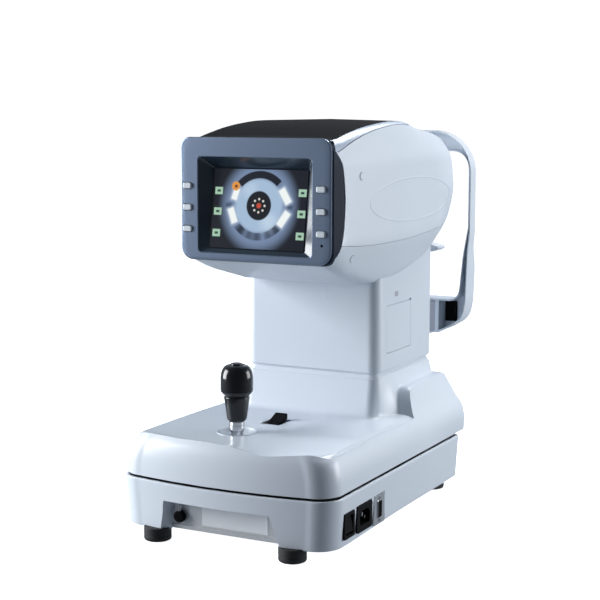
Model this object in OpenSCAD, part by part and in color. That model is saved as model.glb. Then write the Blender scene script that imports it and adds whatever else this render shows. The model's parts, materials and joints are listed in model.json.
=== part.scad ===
// Auto refractor with keratometer: a table-top instrument on a sliding stage.
// Millimetres. +X is the operator's right, +Y points at the patient, +Z is up.
// The origin is on the table, below the middle of the instrument.

/* [Base] */
// Width of the base at the split line
base_w = 262; // [258:1:266]
// Foremost point of the bowed base front
base_front = -245; // [-247:1:-243]
// Rear wall of the base
base_rear = 124; // [120:1:126]
// Height of the upper edge of the base
base_top = 67; // [66:0.5:67]
// Inward lean of the base walls over their height
base_draft = 3; // [2:0.5:4]
// Height of the rubber feet
foot_h = 15; // [15:0.5:15.5]
// Diameter of a rubber foot
foot_d = 30; // [26:1:32]
// Wall thickness of the mouldings
wall = 3; // [2.5:0.1:3]

/* [Carriage cover] */
// Width of the cover at the split line
cover_w = 258; // [256:1:260]
// Width of the cover at the platform
platform_w = 244; // [240:1:248]
// Height of the platform
platform_z = 110; // [109.5:0.5:111]
// Rearmost point of the cover
cover_rear = 147; // [144:1:150]
// Open split between the base and the cover
split_gap = 3; // [2.5:0.5:4]

/* [Column] */
// Width of the neck and of the column
column_w = 172.4; // [172:0.4:174]
// Front face of the column
column_front = -27; // [-30:1:-26]
// Rear face of the column
column_rear = 133; // [131:1:135]
// Height of the gap between the neck and the column
column_gap_z = 160; // [158:1:161]

/* [Head] */
// Width of the head at its widest
head_w = 210; // [206:2:212]
// Front plane of the screen bezel
head_front = -161.4; // [-163:0.2:-160]
// Rear face of the head
head_rear = 195; // [193:1:196]
// Highest point of the head
head_top = 452; // [450:1:454]
// Height of the optical axis with the head fully down
optic_z = 360; // [358:1:362]
// Backward tilt of the screen
screen_tilt = 8.5; // [6:0.5:10]

/* [Headrest] */
// Outer width of the headrest arch
arch_w = 217; // [214:1:220]
// Top of the headrest arch
arch_top = 436; // [434:1:438]
// Bottom of the headrest arch
arch_bottom = 174; // [172:1:176]
// Operator side face of the arch
arch_front = 205; // [204:1:206]
// Top of the chin rest at mid height
chin_z = 291; // [289:1:293]

/* [Joystick] */
// Sideways place of the joystick
stick_x = -22.5; // [-24:0.5:-21]
// Fore and aft place of the joystick
stick_y = -160; // [-162:1:-158]
// Height of the two tilt axes
stick_pivot_z = 92; // [91:0.5:93]
// Height of the lower end of the grip
grip_z = 124; // [123:1:126]
// Length of the grip
grip_h = 62; // [58:1:64]

/* [Stage] */
// Diameter of the fore and aft rails
depth_rail_d = 10; // [8:1:10]
// Diameter of the sideways rails
cross_rail_d = 8; // [6:1:8]
// Radial running clearance of shafts in their bores
fit_gap = 0.05; // [0.02:0.01:0.1]

/* [Hidden] */
$fn = 48;
eps = 0.01;
// Small gap between separate pieces that sit together
seam = 0.3;

// Places that several pieces share
cover_bottom = base_top + split_gap;
deck_top = base_top - 1;
deck_t = 3;
rail_x = 60;
rail_z = 76;
slide_z = 83;
slide_t = 4;
cross_z = 93;
cross_y = 45;
plate_z = 100;
plate_t = 3;
lift_y = 100;
guide_x = 55;
foot_places = [[-82.5, -229], [82.5, -229], [-100, 109], [100, 109]];
side_x = base_w / 2 - 0.2;
switch_y = -193;
switch_z = 35;
rocker_x = side_x - 5.2;
rocker_tilt = 8;
inlet_y = -155.5;
inlet_z = 34.5;
serial_y = -116.5;
serial_z = 33;
inlet_flange = [39, 30];
serial_flange = [28, 33];
lock_x = -54;
lock_z = 29;
lever_x = -8.5;
lever_pin = [-104, 106];
key_xs = [-82.4, 80.8];
key_zs = [380, 356.5, 333];
key_size = [11, 6.5];
door_y = [0.5, 66.5];
door_z = [182, 238];
door_hinge = [84.8, 184];
roll_x = 57;
roll_z = 208;
chin_y = 219;
bezel_back = -146;
bezel_low = 299.7;
lower_split_z = 318;
screen_c = [0, -150.5, 356];

// Points of a circular arc about c, from angle a0 to a1
function arc(c, r, a0, a1, n) = [for (i = [0:n])
    c + r * [cos(a0 + (a1 - a0) * i / n), sin(a0 + (a1 - a0) * i / n)]];

// Plan outline with a bowed front, round front corners and small rear corners
bow = 9;
function plan(w, front, rear, rf, rr) =
    let (h = w / 2, xc = h - rf, yc = front + bow + rf, big = (pow(xc, 2) + pow(bow, 2)) / (2 * bow),
         a = asin(xc / big))
    concat(arc([0, front + big], big, 270 - a, 270 + a, 16),
           arc([xc, yc], rf, 270 + 8, 360, 8),
           arc([h - rr, rear - rr], rr, 0, 90, 4),
           arc([rr - h, rear - rr], rr, 90, 180, 4),
           arc([-xc, yc], rf, 180, 270 - 8, 8));

module plan_slab(w, front, rear, rf, rr, z, t) {
    translate([0, 0, z]) linear_extrude(t) polygon(plan(w, front, rear, rf, rr));
}

// Rectangle with round corners, centred, made of true arcs
module round_rect(w, h, r) {
    square([w - 2 * r, h], center = true);
    square([w, h - 2 * r], center = true);
    for (x = [-1, 1], y = [-1, 1]) translate([x * (w / 2 - r), y * (h / 2 - r)]) circle(r);
}

// Box given by its low and high corners
module span(low, high) {
    translate(low) cube(high - low);
}

// Cylinder along Y between two y values
module rod_y(x, z, r, y0, y1) {
    translate([x, y0, z]) rotate([-90, 0, 0]) cylinder(r = r, h = y1 - y0);
}

// Cylinder along X between two x values
module rod_x(y, z, r, x0, x1) {
    translate([x0, y, z]) rotate([0, 90, 0]) cylinder(r = r, h = x1 - x0);
}

module rod_z(x, y, r, z0, z1) {
    translate([x, y, z0]) cylinder(r = r, h = z1 - z0);
}

// Upright face outline, x across and z up, swept along Y
module along_y(y0, y1) {
    translate([0, y1, 0]) rotate([90, 0, 0]) linear_extrude(y1 - y0) children();
}

// Side outline, y across and z up, swept along X
module along_x(x0, x1) {
    translate([x0, 0, 0]) rotate([90, 0, 90]) linear_extrude(x1 - x0) children();
}

// ---------------------------------------------------------------- base

module base_solid(inset) {
    hull() {
        plan_slab(base_w - 2 * (base_draft + inset), base_front + base_draft + inset,
            base_rear - 1 - inset, 25 - inset, 8 - inset, foot_h, 0.1);
        plan_slab(base_w - 2 * inset, base_front + inset, base_rear - inset, 28 - inset,
            8 - inset, base_top - 0.1, 0.1);
    }
}

// Splayed window in the front of the base
recess_back = -226;
module recess_cavity() {
    hull() {
        along_y(base_front - 2, base_front - 1)
            polygon([[-81.5, 14], [74.6, 14], [62, 47.5], [-72, 47.5]]);
        along_y(recess_back - 1, recess_back)
            polygon([[-66, 14], [71.6, 14], [59, 46.5], [-60, 46.5]]);
    }
}

// Hole for a connector's body and a shallow seat for its flange, in the right wall
module port_hole(y, z, body, flange) {
    along_x(110, 140) translate([y, z]) square(body + [0.4, 0.4], center = true);
    along_x(side_x - 2.5, 140) translate([y, z]) square(flange + [0.4, 0.4], center = true);
}

module base_housing() {
    color("lightsteelblue") difference() {
        union() {
            difference() {
                base_solid(0);
                translate([0, 0, -eps]) base_solid(wall);
                plan_slab(base_w - 2 * wall, base_front + wall, base_rear - wall, 25, 5, 60, 10);
            }
            intersection() {
                base_solid(0);
                span([-85, -250, foot_h], [78, recess_back, 51]);
            }
        }
        recess_cavity();
        port_hole(switch_y, switch_z, [21.6, 23.6], [26, 28]);
        port_hole(inlet_y, inlet_z, [29.6, 21.6], inlet_flange);
        port_hole(serial_y, serial_z, [13.6, 25.6], serial_flange);
        for (p = foot_places) rod_z(p.x, p.y, 3.1, 10, 17.8);
    }
}

module bottom_plate() {
    inset = wall + base_draft + 0.4;
    color("silver") difference() {
        union() {
            difference() {
                plan_slab(base_w - 2 * inset, base_front + inset, base_rear - inset, 22.5, 4.6,
                    foot_h, 2.5);
                span([-85.4, -260, 0], [78.4, recess_back + 0.4, 30]);
            }
            span([-64, recess_back - 1.6, foot_h], [69.5, recess_back + 2, foot_h + 2.5]);
            span([-63, recess_back - 1.6, foot_h], [69, recess_back, foot_h + 4.5]);
        }
        for (p = foot_places) rod_z(p.x, p.y, 3.1, 0, 30);
        for (i = [-4:4]) span([i * 12 - 2, 88, 10], [i * 12 + 2, 108, 20]);
    }
}

module base_deck() {
    color("dimgray") difference() {
        plan_slab(base_w - 2 * (wall + 0.4), base_front + wall + 0.4, base_rear - wall - 0.4,
            24, 4.6, deck_top - deck_t, deck_t);
        for (x = [-1, 1], y = [-113, 93]) rod_z(x * rail_x, y, 1.7, 60, 70);
    }
}

module front_plate() {
    color("gainsboro") difference() {
        span([-78, recess_back + eps, foot_h + 2.6], [76, recess_back + 2, 50]);
        rod_y(lock_x, lock_z, 3 + fit_gap, -240, -210);
    }
}

module feet() {
    color("black") for (p = foot_places) translate([p.x, p.y, 0]) difference() {
        rotate_extrude() polygon([[0, 0], [foot_d / 2 - 1.5, 0], [foot_d / 2, 2],
            [foot_d / 2, foot_h], [0, foot_h]]);
        translate([0, 0, -1]) cylinder(r = 7, h = 7);
        cylinder(r = 3.1, h = 20);
    }
}

module base_screws() {
    color("silver") {
        for (p = foot_places) translate([p.x, p.y, 2]) {
            cylinder(r = 6, h = 4);
            cylinder(r = 2.9, h = 15.5);
        }
        for (x = [-1, 1], y = [-113, 93]) translate([x * rail_x, y, 0]) {
            rod_z(0, 0, 1.5, deck_top - 6, rail_z - depth_rail_d / 2 - 1);
            rod_z(0, 0, 3, deck_top - 6, deck_top - deck_t);
        }
    }
}

module power_inlet() {
    pins = [[-7, -2], [7, -2], [0, 2]];
    color("black") {
        difference() {
            union() {
                span([99, inlet_y - 14.8, inlet_z - 10.8], [side_x, inlet_y + 14.8, inlet_z + 10.8]);
                along_x(side_x - 2.3, side_x) translate([inlet_y, inlet_z]) difference() {
                    round_rect(inlet_flange.x, inlet_flange.y, 4);
                    square([29.6, 21.6], center = true);
                }
            }
            along_x(side_x - 17, side_x + 1) translate([inlet_y, inlet_z])
                polygon([[-12, -8], [12, -8], [12, 4], [7, 8], [-7, 8], [-12, 4]]);
        }
        for (p = pins) span([112, inlet_y + p.x - 1, inlet_z + p.y - 2],
            [side_x - 3, inlet_y + p.x + 1, inlet_z + p.y + 2]);
    }
}

module switch_frame() {
    color("black") difference() {
        union() {
            span([112, switch_y - 10.8, switch_z - 11.8],
                 [side_x, switch_y + 10.8, switch_z + 11.8]);
            span([side_x - 2.3, switch_y - 13, switch_z - 14],
                 [side_x, switch_y + 13, switch_z + 14]);
        }
        span([115, switch_y - 8.5, switch_z - 10.2], [140, switch_y + 8.5, switch_z + 10.2]);
        rod_y(rocker_x, switch_z, 1.5 + fit_gap, switch_y - 10, switch_y + 10);
    }
}

module power_rocker() {
    color("black") translate([rocker_x, 0, switch_z]) {
        rotate([0, -rocker_tilt, 0]) along_y(switch_y - 8.2, switch_y + 8.2)
            polygon([[-5, -5], [3, -8.8], [3.9, -8.4], [4.2, 0], [3.9, 8.4], [3, 8.8], [-5, 5]]);
        rod_y(0, 0, 1.5, switch_y - 9.8, switch_y + 9.8);
    }
}

module serial_port() {
    color("silver") {
        difference() {
            span([116, serial_y - 6.8, serial_z - 12.8], [side_x - 2, serial_y + 6.8, serial_z + 12.8]);
            for (i = [-2:2]) rod_x(serial_y - 1.5, serial_z + i * 2.8, 0.6, 124, 132);
            for (i = [-1.5:1.5]) rod_x(serial_y + 1.5, serial_z + i * 2.8, 0.6, 124, 132);
        }
        along_x(side_x - 2, side_x - 0.8) translate([serial_y, serial_z]) difference() {
            round_rect(serial_flange.x, serial_flange.y, 1.5);
            round_rect(10, 18, 2);
        }
        for (z = [-1, 1]) rod_x(serial_y, serial_z + z * 12.5, 2.6, side_x - 0.8, side_x);
    }
}

module power_supply() {
    color("gray") difference() {
        span([-62, -70, 17.5], [62, 60, 48]);
        for (i = [-6:6]) span([i * 8 - 2, -60, 46], [i * 8 + 2, 50, 49]);
    }
}

module depth_rails() {
    color("silver") for (x = [-rail_x, rail_x]) rod_y(x, rail_z, depth_rail_d / 2, -118, 98);
}

module rail_supports() {
    color("dimgray") for (x = [-rail_x, rail_x], y = [-118, 88]) difference() {
        span([x - 11, y, deck_top], [x + 11, y + 10, rail_z + 6]);
        rod_y(x, rail_z, depth_rail_d / 2, y - 1, y + 11);
        rod_z(x, y + 5, 1.6, deck_top - 1, rail_z);
    }
}

module friction_pad() {
    color("darkslategray") span([stick_x - 52, stick_y - 45, deck_top],
        [stick_x + 52, stick_y + 18, deck_top + 2]);
}

module transport_lock() {
    color("black") {
        rod_y(lock_x, lock_z, 3, recess_back - 2, recess_back + 9);
        rod_y(lock_x, lock_z, 6.5, recess_back - 7, recess_back - 1);
        rod_y(lock_x, lock_z, 5, recess_back + 5, recess_back + 9);
        rod_z(lock_x, recess_back - 4, 1.8, lock_z, lock_z + 15);
    }
}

// ---------------------------------------------------------------- headrest

post_w = 80;
post_y = [171, 219];
module headrest_post() {
    color("lightsteelblue") difference() {
        union() {
            along_x(-post_w / 2, post_w / 2) polygon([[base_rear + 0.2, 20], [post_y[1] - 8, 20],
                [post_y[1], 28], [post_y[1], arch_bottom], [post_y[0], arch_bottom],
                [post_y[0], 70], [post_y[0] - 8, 62], [base_rear + 0.2, 62]]);
        }
        span([-post_w / 2 + 4, base_rear - 5, 25], [post_w / 2 - 4, post_y[1] - 14, 57]);
        rod_z(0, chin_y - 7, 7, arch_bottom - 6, arch_bottom + 5);
        span([-7, chin_y - 7, arch_bottom - 6], [7, chin_y + 7, arch_bottom + 5]);
    }
}

// Face outlines of the arch: outer edge and window
arch_outer = concat(arc([arch_w / 2 - 54, arch_top - 54], 54, 0, 90, 9),
    arc([54 - arch_w / 2, arch_top - 54], 54, 90, 180, 9),
    [[-arch_w / 2, 315], [-103.5, 275]],
    arc([50 - 102, arch_bottom + 50], 50, 180, 270, 8),
    arc([102 - 50, arch_bottom + 50], 50, 270, 360, 8),
    [[103.5, 275], [arch_w / 2, 315]]);
arch_window = concat(arc([105 - 24, 386], 24, 0, 90, 6), arc([24 - 105, 386], 24, 90, 180, 6),
    [[-105, 325], [-98, 272]], arc([12 - 95.5, 234], 12, 180, 270, 4),
    arc([95.5 - 12, 234], 12, 270, 360, 4), [[98, 272], [105, 325]]);
arch_depth = 19;
arch_low_depth = 30;
// The lower channel's mouth, right half
channel = [[68, 180], [76, 183], [86, 192], [93, 203], [95.5, 216], [95.5, 218], [68, 218]];

module headrest_frame() {
    color("aliceblue") difference() {
        union() {
            along_y(arch_front, arch_front + arch_depth) polygon(arch_outer);
            intersection() {
                along_y(arch_front, arch_front + arch_low_depth) polygon(arch_outer);
                along_x(-120, 120) polygon([[200, 160], [240, 160], [240, 262],
                    [arch_front + arch_depth, 305], [200, 305]]);
            }
        }
        along_y(arch_front - 5, arch_front + 40) polygon(arch_window);
        along_y(arch_front - 1, arch_front + arch_depth - 3)
            translate([0, 421]) round_rect(150, 18, 5);
        for (s = [-1, 1]) along_y(arch_front - 1, arch_front + arch_low_depth - 4)
            polygon([for (p = channel) [s * p[0], p[1]]]);
        span([-64, arch_front - 1, 178], [64, arch_front + 6, 218]);
        rod_z(0, chin_y, 7, arch_bottom - 1, 230);
    }
}

module headrest_insert() {
    color("slategray") difference() {
        span([-63.6, arch_front + 1, 178.4], [63.6, arch_front + 3, 217.6]);
        for (x = [-50, 50]) rod_y(x, 198, 2, arch_front, arch_front + 5);
    }
}

module forehead_pad() {
    color("whitesmoke") difference() {
        along_y(arch_front + arch_depth + eps, 238) translate([0, 421]) round_rect(118, 24, 11);
        translate([0, 238 + 260, 300]) cylinder(r = 265, h = 200, $fn = 160);
    }
}

module chin_guide() {
    color("silver") difference() {
        union() {
            rod_z(0, chin_y, 11, 222.2, 248);
            span([-24, chin_y - 12, 222.2], [24, chin_y + 12, 227]);
        }
        rod_z(0, chin_y, 6 + fit_gap, 210, 260);
    }
}

module chin_rest() {
    color("whitesmoke") {
        rod_z(0, chin_y, 6, 205, chin_z - 8);
        difference() {
            along_y(chin_y - 14, 245) polygon(concat([[-68, chin_z - 3]],
                arc([-60, chin_z - 3], 8, 180, 270, 4),
                arc([60, chin_z - 3], 8, 270, 360, 4), [[68, chin_z - 3], [62, chin_z],
                [40, chin_z + 1], [-40, chin_z + 1], [-62, chin_z]]));
            translate([0, chin_y - 20, chin_z + 52]) rotate([-90, 0, 0])
                cylinder(r = 58, h = 60, $fn = 120);
            span([36, 233, 260], [80, 260, 300]);
            span([-80, 233, 260], [-36, 260, 300]);
        }
    }
}

// ---------------------------------------------------------------- stage

slide_half = 74;
module slide_plate() {
    color("gray") difference() {
        span([-slide_half, -72, slide_z], [slide_half, 72, slide_z + slide_t]);
        span([-38, -28, slide_z - 1], [38, 28, slide_z + slide_t + 1]);
    }
}

module depth_bushings() {
    color("darkgray") for (x = [-rail_x, rail_x], y = [-60, 30]) difference() {
        span([x - 12, y, deck_top + 2.5], [x + 12, y + 30, slide_z]);
        rod_y(x, rail_z, depth_rail_d / 2 + fit_gap, y - 1, y + 31);
    }
}

module cross_bushings() {
    color("darkgray") for (x = [-62, 38], y = [-cross_y, cross_y]) difference() {
        span([x, y - 11, slide_z + slide_t], [x + 24, y + 11, plate_z - 0.6]);
        rod_x(y, cross_z, cross_rail_d / 2 + fit_gap, x - 1, x + 25);
    }
}

module cross_rails() {
    color("silver") for (y = [-cross_y, cross_y])
        rod_x(y, cross_z, cross_rail_d / 2, -116, 116);
}

module rail_ends() {
    color("dimgray") for (x = [-116, 108], y = [-cross_y, cross_y]) difference() {
        span([x, y - 10, slide_z + slide_t + 1], [x + 8, y + 10, plate_z]);
        rod_x(y, cross_z, cross_rail_d / 2, x - 1, x + 9);
    }
}

module carriage_plate() {
    color("gray") {
        difference() {
            union() {
                span([-80, -205, plate_z], [80, 125, plate_z + plate_t]);
                span([-118, -62, plate_z], [118, 62, plate_z + plate_t]);
            }
            rod_z(stick_x, stick_y, 20, 90, 110);
            span([-40, -20, 90], [40, 50, 110]);
            for (x = [-guide_x, guide_x]) rod_z(x, lift_y, 6, 90, 110);
        }
        for (x = [lever_x - 13, lever_x + 10.2]) difference() {
            span([x, lever_pin[0] - 3, plate_z + plate_t], [x + 2.8, lever_pin[0] + 3, lever_pin[1] + 0.6]);
            rod_x(lever_pin[0], lever_pin[1] - 1, 1.2 + fit_gap, x - 1, x + 4);
        }
    }
}

// Side outline of the shoulders behind the platform
shoulder = [[14, 80], [14, 138], [45, 146], [70, 151], [83, 145], [100, 132], [118, 116],
    [136, 94], [144.5, 76], [144.5, 74], [100, 74]];

module cover_lower(inset) {
    hull() {
        plan_slab(cover_w - 2 * inset, base_front + 8 + inset, cover_rear - inset, 28 - inset,
            8 - inset, cover_bottom, 0.1);
        plan_slab(platform_w + 4 - 2 * inset, base_front + 26 + inset, 128 - inset, 26 - inset,
            8 - inset, platform_z - 5 - inset, 0.1);
        plan_slab(platform_w - 8 - 2 * inset, base_front + 36 + inset, 110 - inset, 22 - inset,
            8 - inset, platform_z - 0.1 - inset, 0.1);
    }
}

module neck_prism(inset, low, high) {
    translate([0, (column_front + column_rear) / 2, low]) linear_extrude(high - low)
        round_rect(column_w - 2 * inset, column_rear - column_front - 2 * inset, 12 - inset);
}

module shoulder_solid(inset) {
    half = cover_w / 2 - 5 - inset;
    intersection() {
        along_x(-half, half) translate([inset, -inset]) polygon(shoulder);
        along_x(-half, half) translate([-inset, -inset]) polygon(shoulder);
    }
}

module carriage_cover() {
    well_r = 23;
    color("lightsteelblue") difference() {
        union() {
            cover_lower(0);
            shoulder_solid(0);
            neck_prism(0, 100, column_gap_z);
        }
        difference() {
            translate([0, 0, -eps]) cover_lower(wall);
            for (x = [-70, 70], y = [-190, -80]) rod_z(x, y, 5, plate_z + plate_t, 120);
        }
        translate([0, 0, -eps]) shoulder_solid(wall);
        neck_prism(2.4, 90, column_gap_z + 1);
        rod_z(stick_x, stick_y, well_r, 90, 120);
        span([lever_x - 9.5, -111, 90], [lever_x + 9.5, -79.5, 120]);
    }
}

module joystick_well() {
    color("lightgray") translate([stick_x, stick_y, 0]) rotate_extrude()
        polygon([[12.5, 104.2], [22.8, 104.2], [22.8, platform_z], [21.5, platform_z],
            [19, 107.4], [12.5, 106]]);
}

module joystick_socket() {
    color("dimgray") difference() {
        rod_z(stick_x, stick_y, 26, 84, plate_z);
        rod_z(stick_x, stick_y, 19, 80, plate_z + 5);
        rod_x(stick_y, stick_pivot_z, 2.5 + fit_gap, stick_x - 30, stick_x + 30);
    }
}

module guide_rods() {
    color("silver") for (x = [-guide_x, guide_x]) rod_z(x, lift_y, 6, plate_z, 300);
}

module lift_motor() {
    color("dimgray") translate([0, lift_y, plate_z + plate_t]) difference() {
        union() {
            translate([-21, -21, 0]) cube([42, 42, 30]);
            cylinder(r = 11, h = 32);
        }
        translate([0, 0, 20]) cylinder(r = 4 + fit_gap, h = 20);
    }
}

module lift_screw() {
    turns_z = [137, 296];
    color("silver") {
        rod_z(0, lift_y, 4, plate_z + plate_t + 21, turns_z[0]);
        rod_z(0, lift_y, 5, turns_z[0], turns_z[1]);
    }
}

module lock_lever() {
    color("black") {
        along_x(lever_x - 8.5, lever_x + 8.5) polygon([[-109, 108.5], [-108, 109.6], [-82, 119],
            [-80.5, 117.8], [-81, 112.5], [-98, 106.5], [-101, 103.8], [-105.5, 103.8]]);
        rod_x(lever_pin[0], lever_pin[1] - 1, 1.2, lever_x - 12.6, lever_x + 12.6);
    }
}

// ---------------------------------------------------------------- joystick

module joystick_gimbal() {
    color("gray") difference() {
        union() {
            rod_z(stick_x, stick_y, 17.5, stick_pivot_z - 4, stick_pivot_z + 4);
            rod_x(stick_y, stick_pivot_z, 2.5, stick_x - 25, stick_x + 25);
        }
        rod_z(stick_x, stick_y, 11, 80, 100);
        rod_y(stick_x, stick_pivot_z, 2.5 + fit_gap, stick_y - 20, stick_y + 20);
    }
}

module joystick_shaft() {
    shaft_top = grip_z + 23;
    color("silver") translate([stick_x, stick_y, 0]) {
        rotate_extrude() polygon([[0, 74], [4, 74], [4, 84], [7, 86], [7, shaft_top - 1],
            [6, shaft_top], [0, shaft_top]]);
        translate([0, 0, 75]) sphere(r = 6);
        translate([0, -15, stick_pivot_z]) rotate([-90, 0, 0]) cylinder(r = 2.5, h = 30);
    }
}

module joystick_grip() {
    z = grip_z;
    t = grip_z + grip_h;
    color("black") translate([stick_x, stick_y, 0]) difference() {
        rotate_extrude() polygon(concat([[0, z], [12, z], [12.6, z + 1.5], [14.2, z + 26],
            [15.4, z + 27.5], [17.2, z + 30], [18, z + 33], [18, z + 44]],
            arc([9, t - 9], 9, 20, 90, 5), [[0, t]]));
        translate([0, 0, z - 1]) cylinder(r = 7 + fit_gap, h = 25);
        translate([0, 0, t - 12]) cylinder(r = 7 + fit_gap, h = 20);
    }
}

module trigger_button() {
    t = grip_z + grip_h;
    color("dimgray") translate([stick_x, stick_y, 0]) rotate_extrude()
        polygon([[0, t - 8], [7, t - 8], [7, t + 1], [6, t + 2], [0, t + 2]]);
}

// ---------------------------------------------------------------- head

// One slice of the head: half width, lowest and highest z, corner radius
module head_slice(y, half, low, high, r, inset) {
    along_y(y, y + 0.1) translate([0, (low + high) / 2])
        round_rect(2 * (half - inset), high - low - 2 * inset, r - inset / 2, $fn = 32);
}

module head_solid(inset) {
    w = head_w / 2;
    hull() {
        head_slice(head_front + inset, w - 12.7, bezel_low, 433.4, 12, inset);
        head_slice(bezel_back, w - 7, 294, 437, 18, inset);
        head_slice(-118, w - 5, 285, 441, 30, inset);
        head_slice(-41, w - 2, 265, head_top - 3, 36, inset);
        head_slice(50, w, 265, head_top, 38, inset);
        head_slice(112, w, 277, head_top - 5, 42, inset);
        head_slice(155, w - 5, 297, head_top - 17, 44, inset);
        head_slice(183, w - 22, 315, head_top - 37, 44, inset);
        head_slice(head_rear - 0.1 - inset, w - 45, 322, 398, 34, inset);
    }
}

module head_shell() {
    difference() {
        head_solid(0);
        head_solid(wall);
    }
}

cap_half = 84;
cap_rear = 58;
trim_w = 6;

module head_housing() {
    color("lightsteelblue") difference() {
        head_shell();
        span([-120, -200, 200], [120, 250, lower_split_z + seam]);
        span([-120, -200, 200], [120, bezel_back + seam, 500]);
        span([-cap_half - trim_w - seam, -200, 420],
             [cap_half + trim_w + seam, cap_rear + trim_w + seam, 500]);
        rod_y(0, optic_z, 33.2, 180, 200);
    }
}

module head_lower_cover() {
    color("lightsteelblue") difference() {
        head_shell();
        span([-120, -200, lower_split_z], [120, 250, 500]);
        span([-120, -200, bezel_low - seam], [120, bezel_back + seam, 500]);
        neck_prism(-seam, 200, 330);
    }
}

module top_cover() {
    color("black") intersection() {
        head_shell();
        span([-cap_half, bezel_back + seam, 420], [cap_half, cap_rear, 500]);
    }
}

module top_trim() {
    color("silver") difference() {
        intersection() {
            head_shell();
            span([-cap_half - trim_w, bezel_back + seam, 420],
                 [cap_half + trim_w, cap_rear + trim_w, 500]);
        }
        span([-cap_half - seam, -200, 400], [cap_half + seam, cap_rear + seam, 500]);
    }
}

module screen_frame() {
    translate(screen_c) rotate([-screen_tilt, 0, 0]) children();
}

module bezel() {
    color("steelblue") difference() {
        intersection() {
            head_solid(0);
            union() {
                span([-120, head_front - 1, bezel_low], [120, bezel_back, 450]);
                span([-76, head_front - 1, 302], [76, -134, 420]);
            }
        }
        hull() {
            along_y(head_front - 1, head_front) translate([0, 359.9]) round_rect(140.4, 105.4, 5);
            screen_frame() along_y(-0.1, 0) round_rect(117, 88, 1);
        }
        screen_frame() span([-66, -0.05, -51], [66, 30, 51]);
        for (x = key_xs, z = key_zs)
            span([x - key_size.x / 2 - 0.2, -170, z - key_size.y / 2 - 0.2],
                 [x + key_size.x / 2 + 0.2, -140, z + key_size.y / 2 + 0.2]);
    }
}

module lcd_panel() {
    color("midnightblue") screen_frame() {
        span([-65.5, 0, -50.5], [65.5, 7, 50.5]);
        span([-57.6, -0.05, -43.2], [57.6, 1, 43.2]);
    }
}

module key_cap(x, z) {
    color("gainsboro") {
        span([x - key_size.x / 2, head_front - 2, z - key_size.y / 2],
             [x + key_size.x / 2, bezel_back - 2, z + key_size.y / 2]);
    }
}
module key_1() { key_cap(key_xs[0], key_zs[0]); }
module key_2() { key_cap(key_xs[0], key_zs[1]); }
module key_3() { key_cap(key_xs[0], key_zs[2]); }
module key_4() { key_cap(key_xs[1], key_zs[0]); }
module key_5() { key_cap(key_xs[1], key_zs[1]); }
module key_6() { key_cap(key_xs[1], key_zs[2]); }

module column_cover() {
    color("lightsteelblue") difference() {
        neck_prism(0, column_gap_z + 1.6, 296);
        neck_prism(wall, 100, 310);
        span([80, door_y[0], door_z[0] + 0.2], [90, door_y[1], door_z[1]]);
        rod_y(door_hinge.x, door_hinge.y, 0.9 + fit_gap, door_y[0] - 2.2, door_y[1] + 2.2);
    }
}

module column_sleeve() {
    color("lightsteelblue") difference() {
        neck_prism(wall, 112, 175);
        neck_prism(wall + 2, 100, 180);
    }
}

module lift_block() {
    color("darkgray") difference() {
        union() {
            span([-76, lift_y - 20, 250], [76, lift_y + 20, 268]);
            span([-40, -10, 300], [40, lift_y + 20, 304]);
            span([-40, lift_y + 12, 268], [40, lift_y + 20, 300]);
        }
        for (x = [-guide_x, guide_x]) rod_z(x, lift_y, 6 + fit_gap, 240, 310);
        rod_z(0, lift_y, 5 + fit_gap, 240, 330);
    }
}

module optics_barrel() {
    color("dimgray") {
        difference() {
            union() {
                rod_y(0, optic_z, 30, -20, 150);
                rod_y(0, optic_z, 22, -60, -20);
                rod_y(0, optic_z, 15.4, 150, 186);
                span([-34, -16, optic_z - 56], [34, 116, optic_z - 26]);
            }
            rod_y(0, optic_z, 12, 140, 190);
        }
        span([-24, -92, optic_z - 24], [24, -60, optic_z + 24]);
    }
}

module objective_window() {
    color("lightblue") rod_y(0, optic_z, 15.4, 187, 190);
}

module mire_ring() {
    color("black") difference() {
        rod_y(0, optic_z, 33, 187, head_rear);
        rod_y(0, optic_z, 15.5, 180, 200);
        for (a = [0:30:330]) rod_y(26 * cos(a), optic_z + 26 * sin(a), 2, 193, 200);
    }
}

module control_board() {
    color("darkgreen") {
        span([-72, -118, 318], [72, -116.4, 402]);
        span([-20, -116.4, 340], [20, -112, 372]);
        for (x = [-55, 40]) span([x, -116.4, 385], [x + 18, -108, 395]);
    }
}

module printer_unit() {
    color("dimgray") {
        difference() {
            span([30, door_y[0] + 1, 176], [83, door_y[1] - 1, 246]);
            rod_y(roll_x, roll_z, 24, door_y[0] + 3.5, door_y[1] - 3.5);
            span([roll_x, door_y[0] + 3.5, roll_z - 23.5], [90, door_y[1] - 3.5, roll_z + 23.5]);
        }
        rod_y(roll_x, roll_z, 6 - fit_gap, door_y[0] + 3.5, door_y[1] - 3.5);
    }
}

module printer_door() {
    color("lightsteelblue") {
        span([83.4, door_y[0] + 0.4, door_hinge.y], [86.2, door_y[1] - 0.4, door_z[1] - 0.4]);
        rod_y(door_hinge.x, door_hinge.y, 1.4, door_y[0] + 0.4, door_y[1] - 0.4);
        rod_y(door_hinge.x, door_hinge.y, 0.9, door_y[0] - 1.8, door_y[1] + 1.8);
    }
}

module paper_roll() {
    color("white") difference() {
        rod_y(roll_x, roll_z, 20, door_y[0] + 4.5, door_y[1] - 4.5);
        rod_y(roll_x, roll_z, 6, 0, 80);
    }
}

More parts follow.
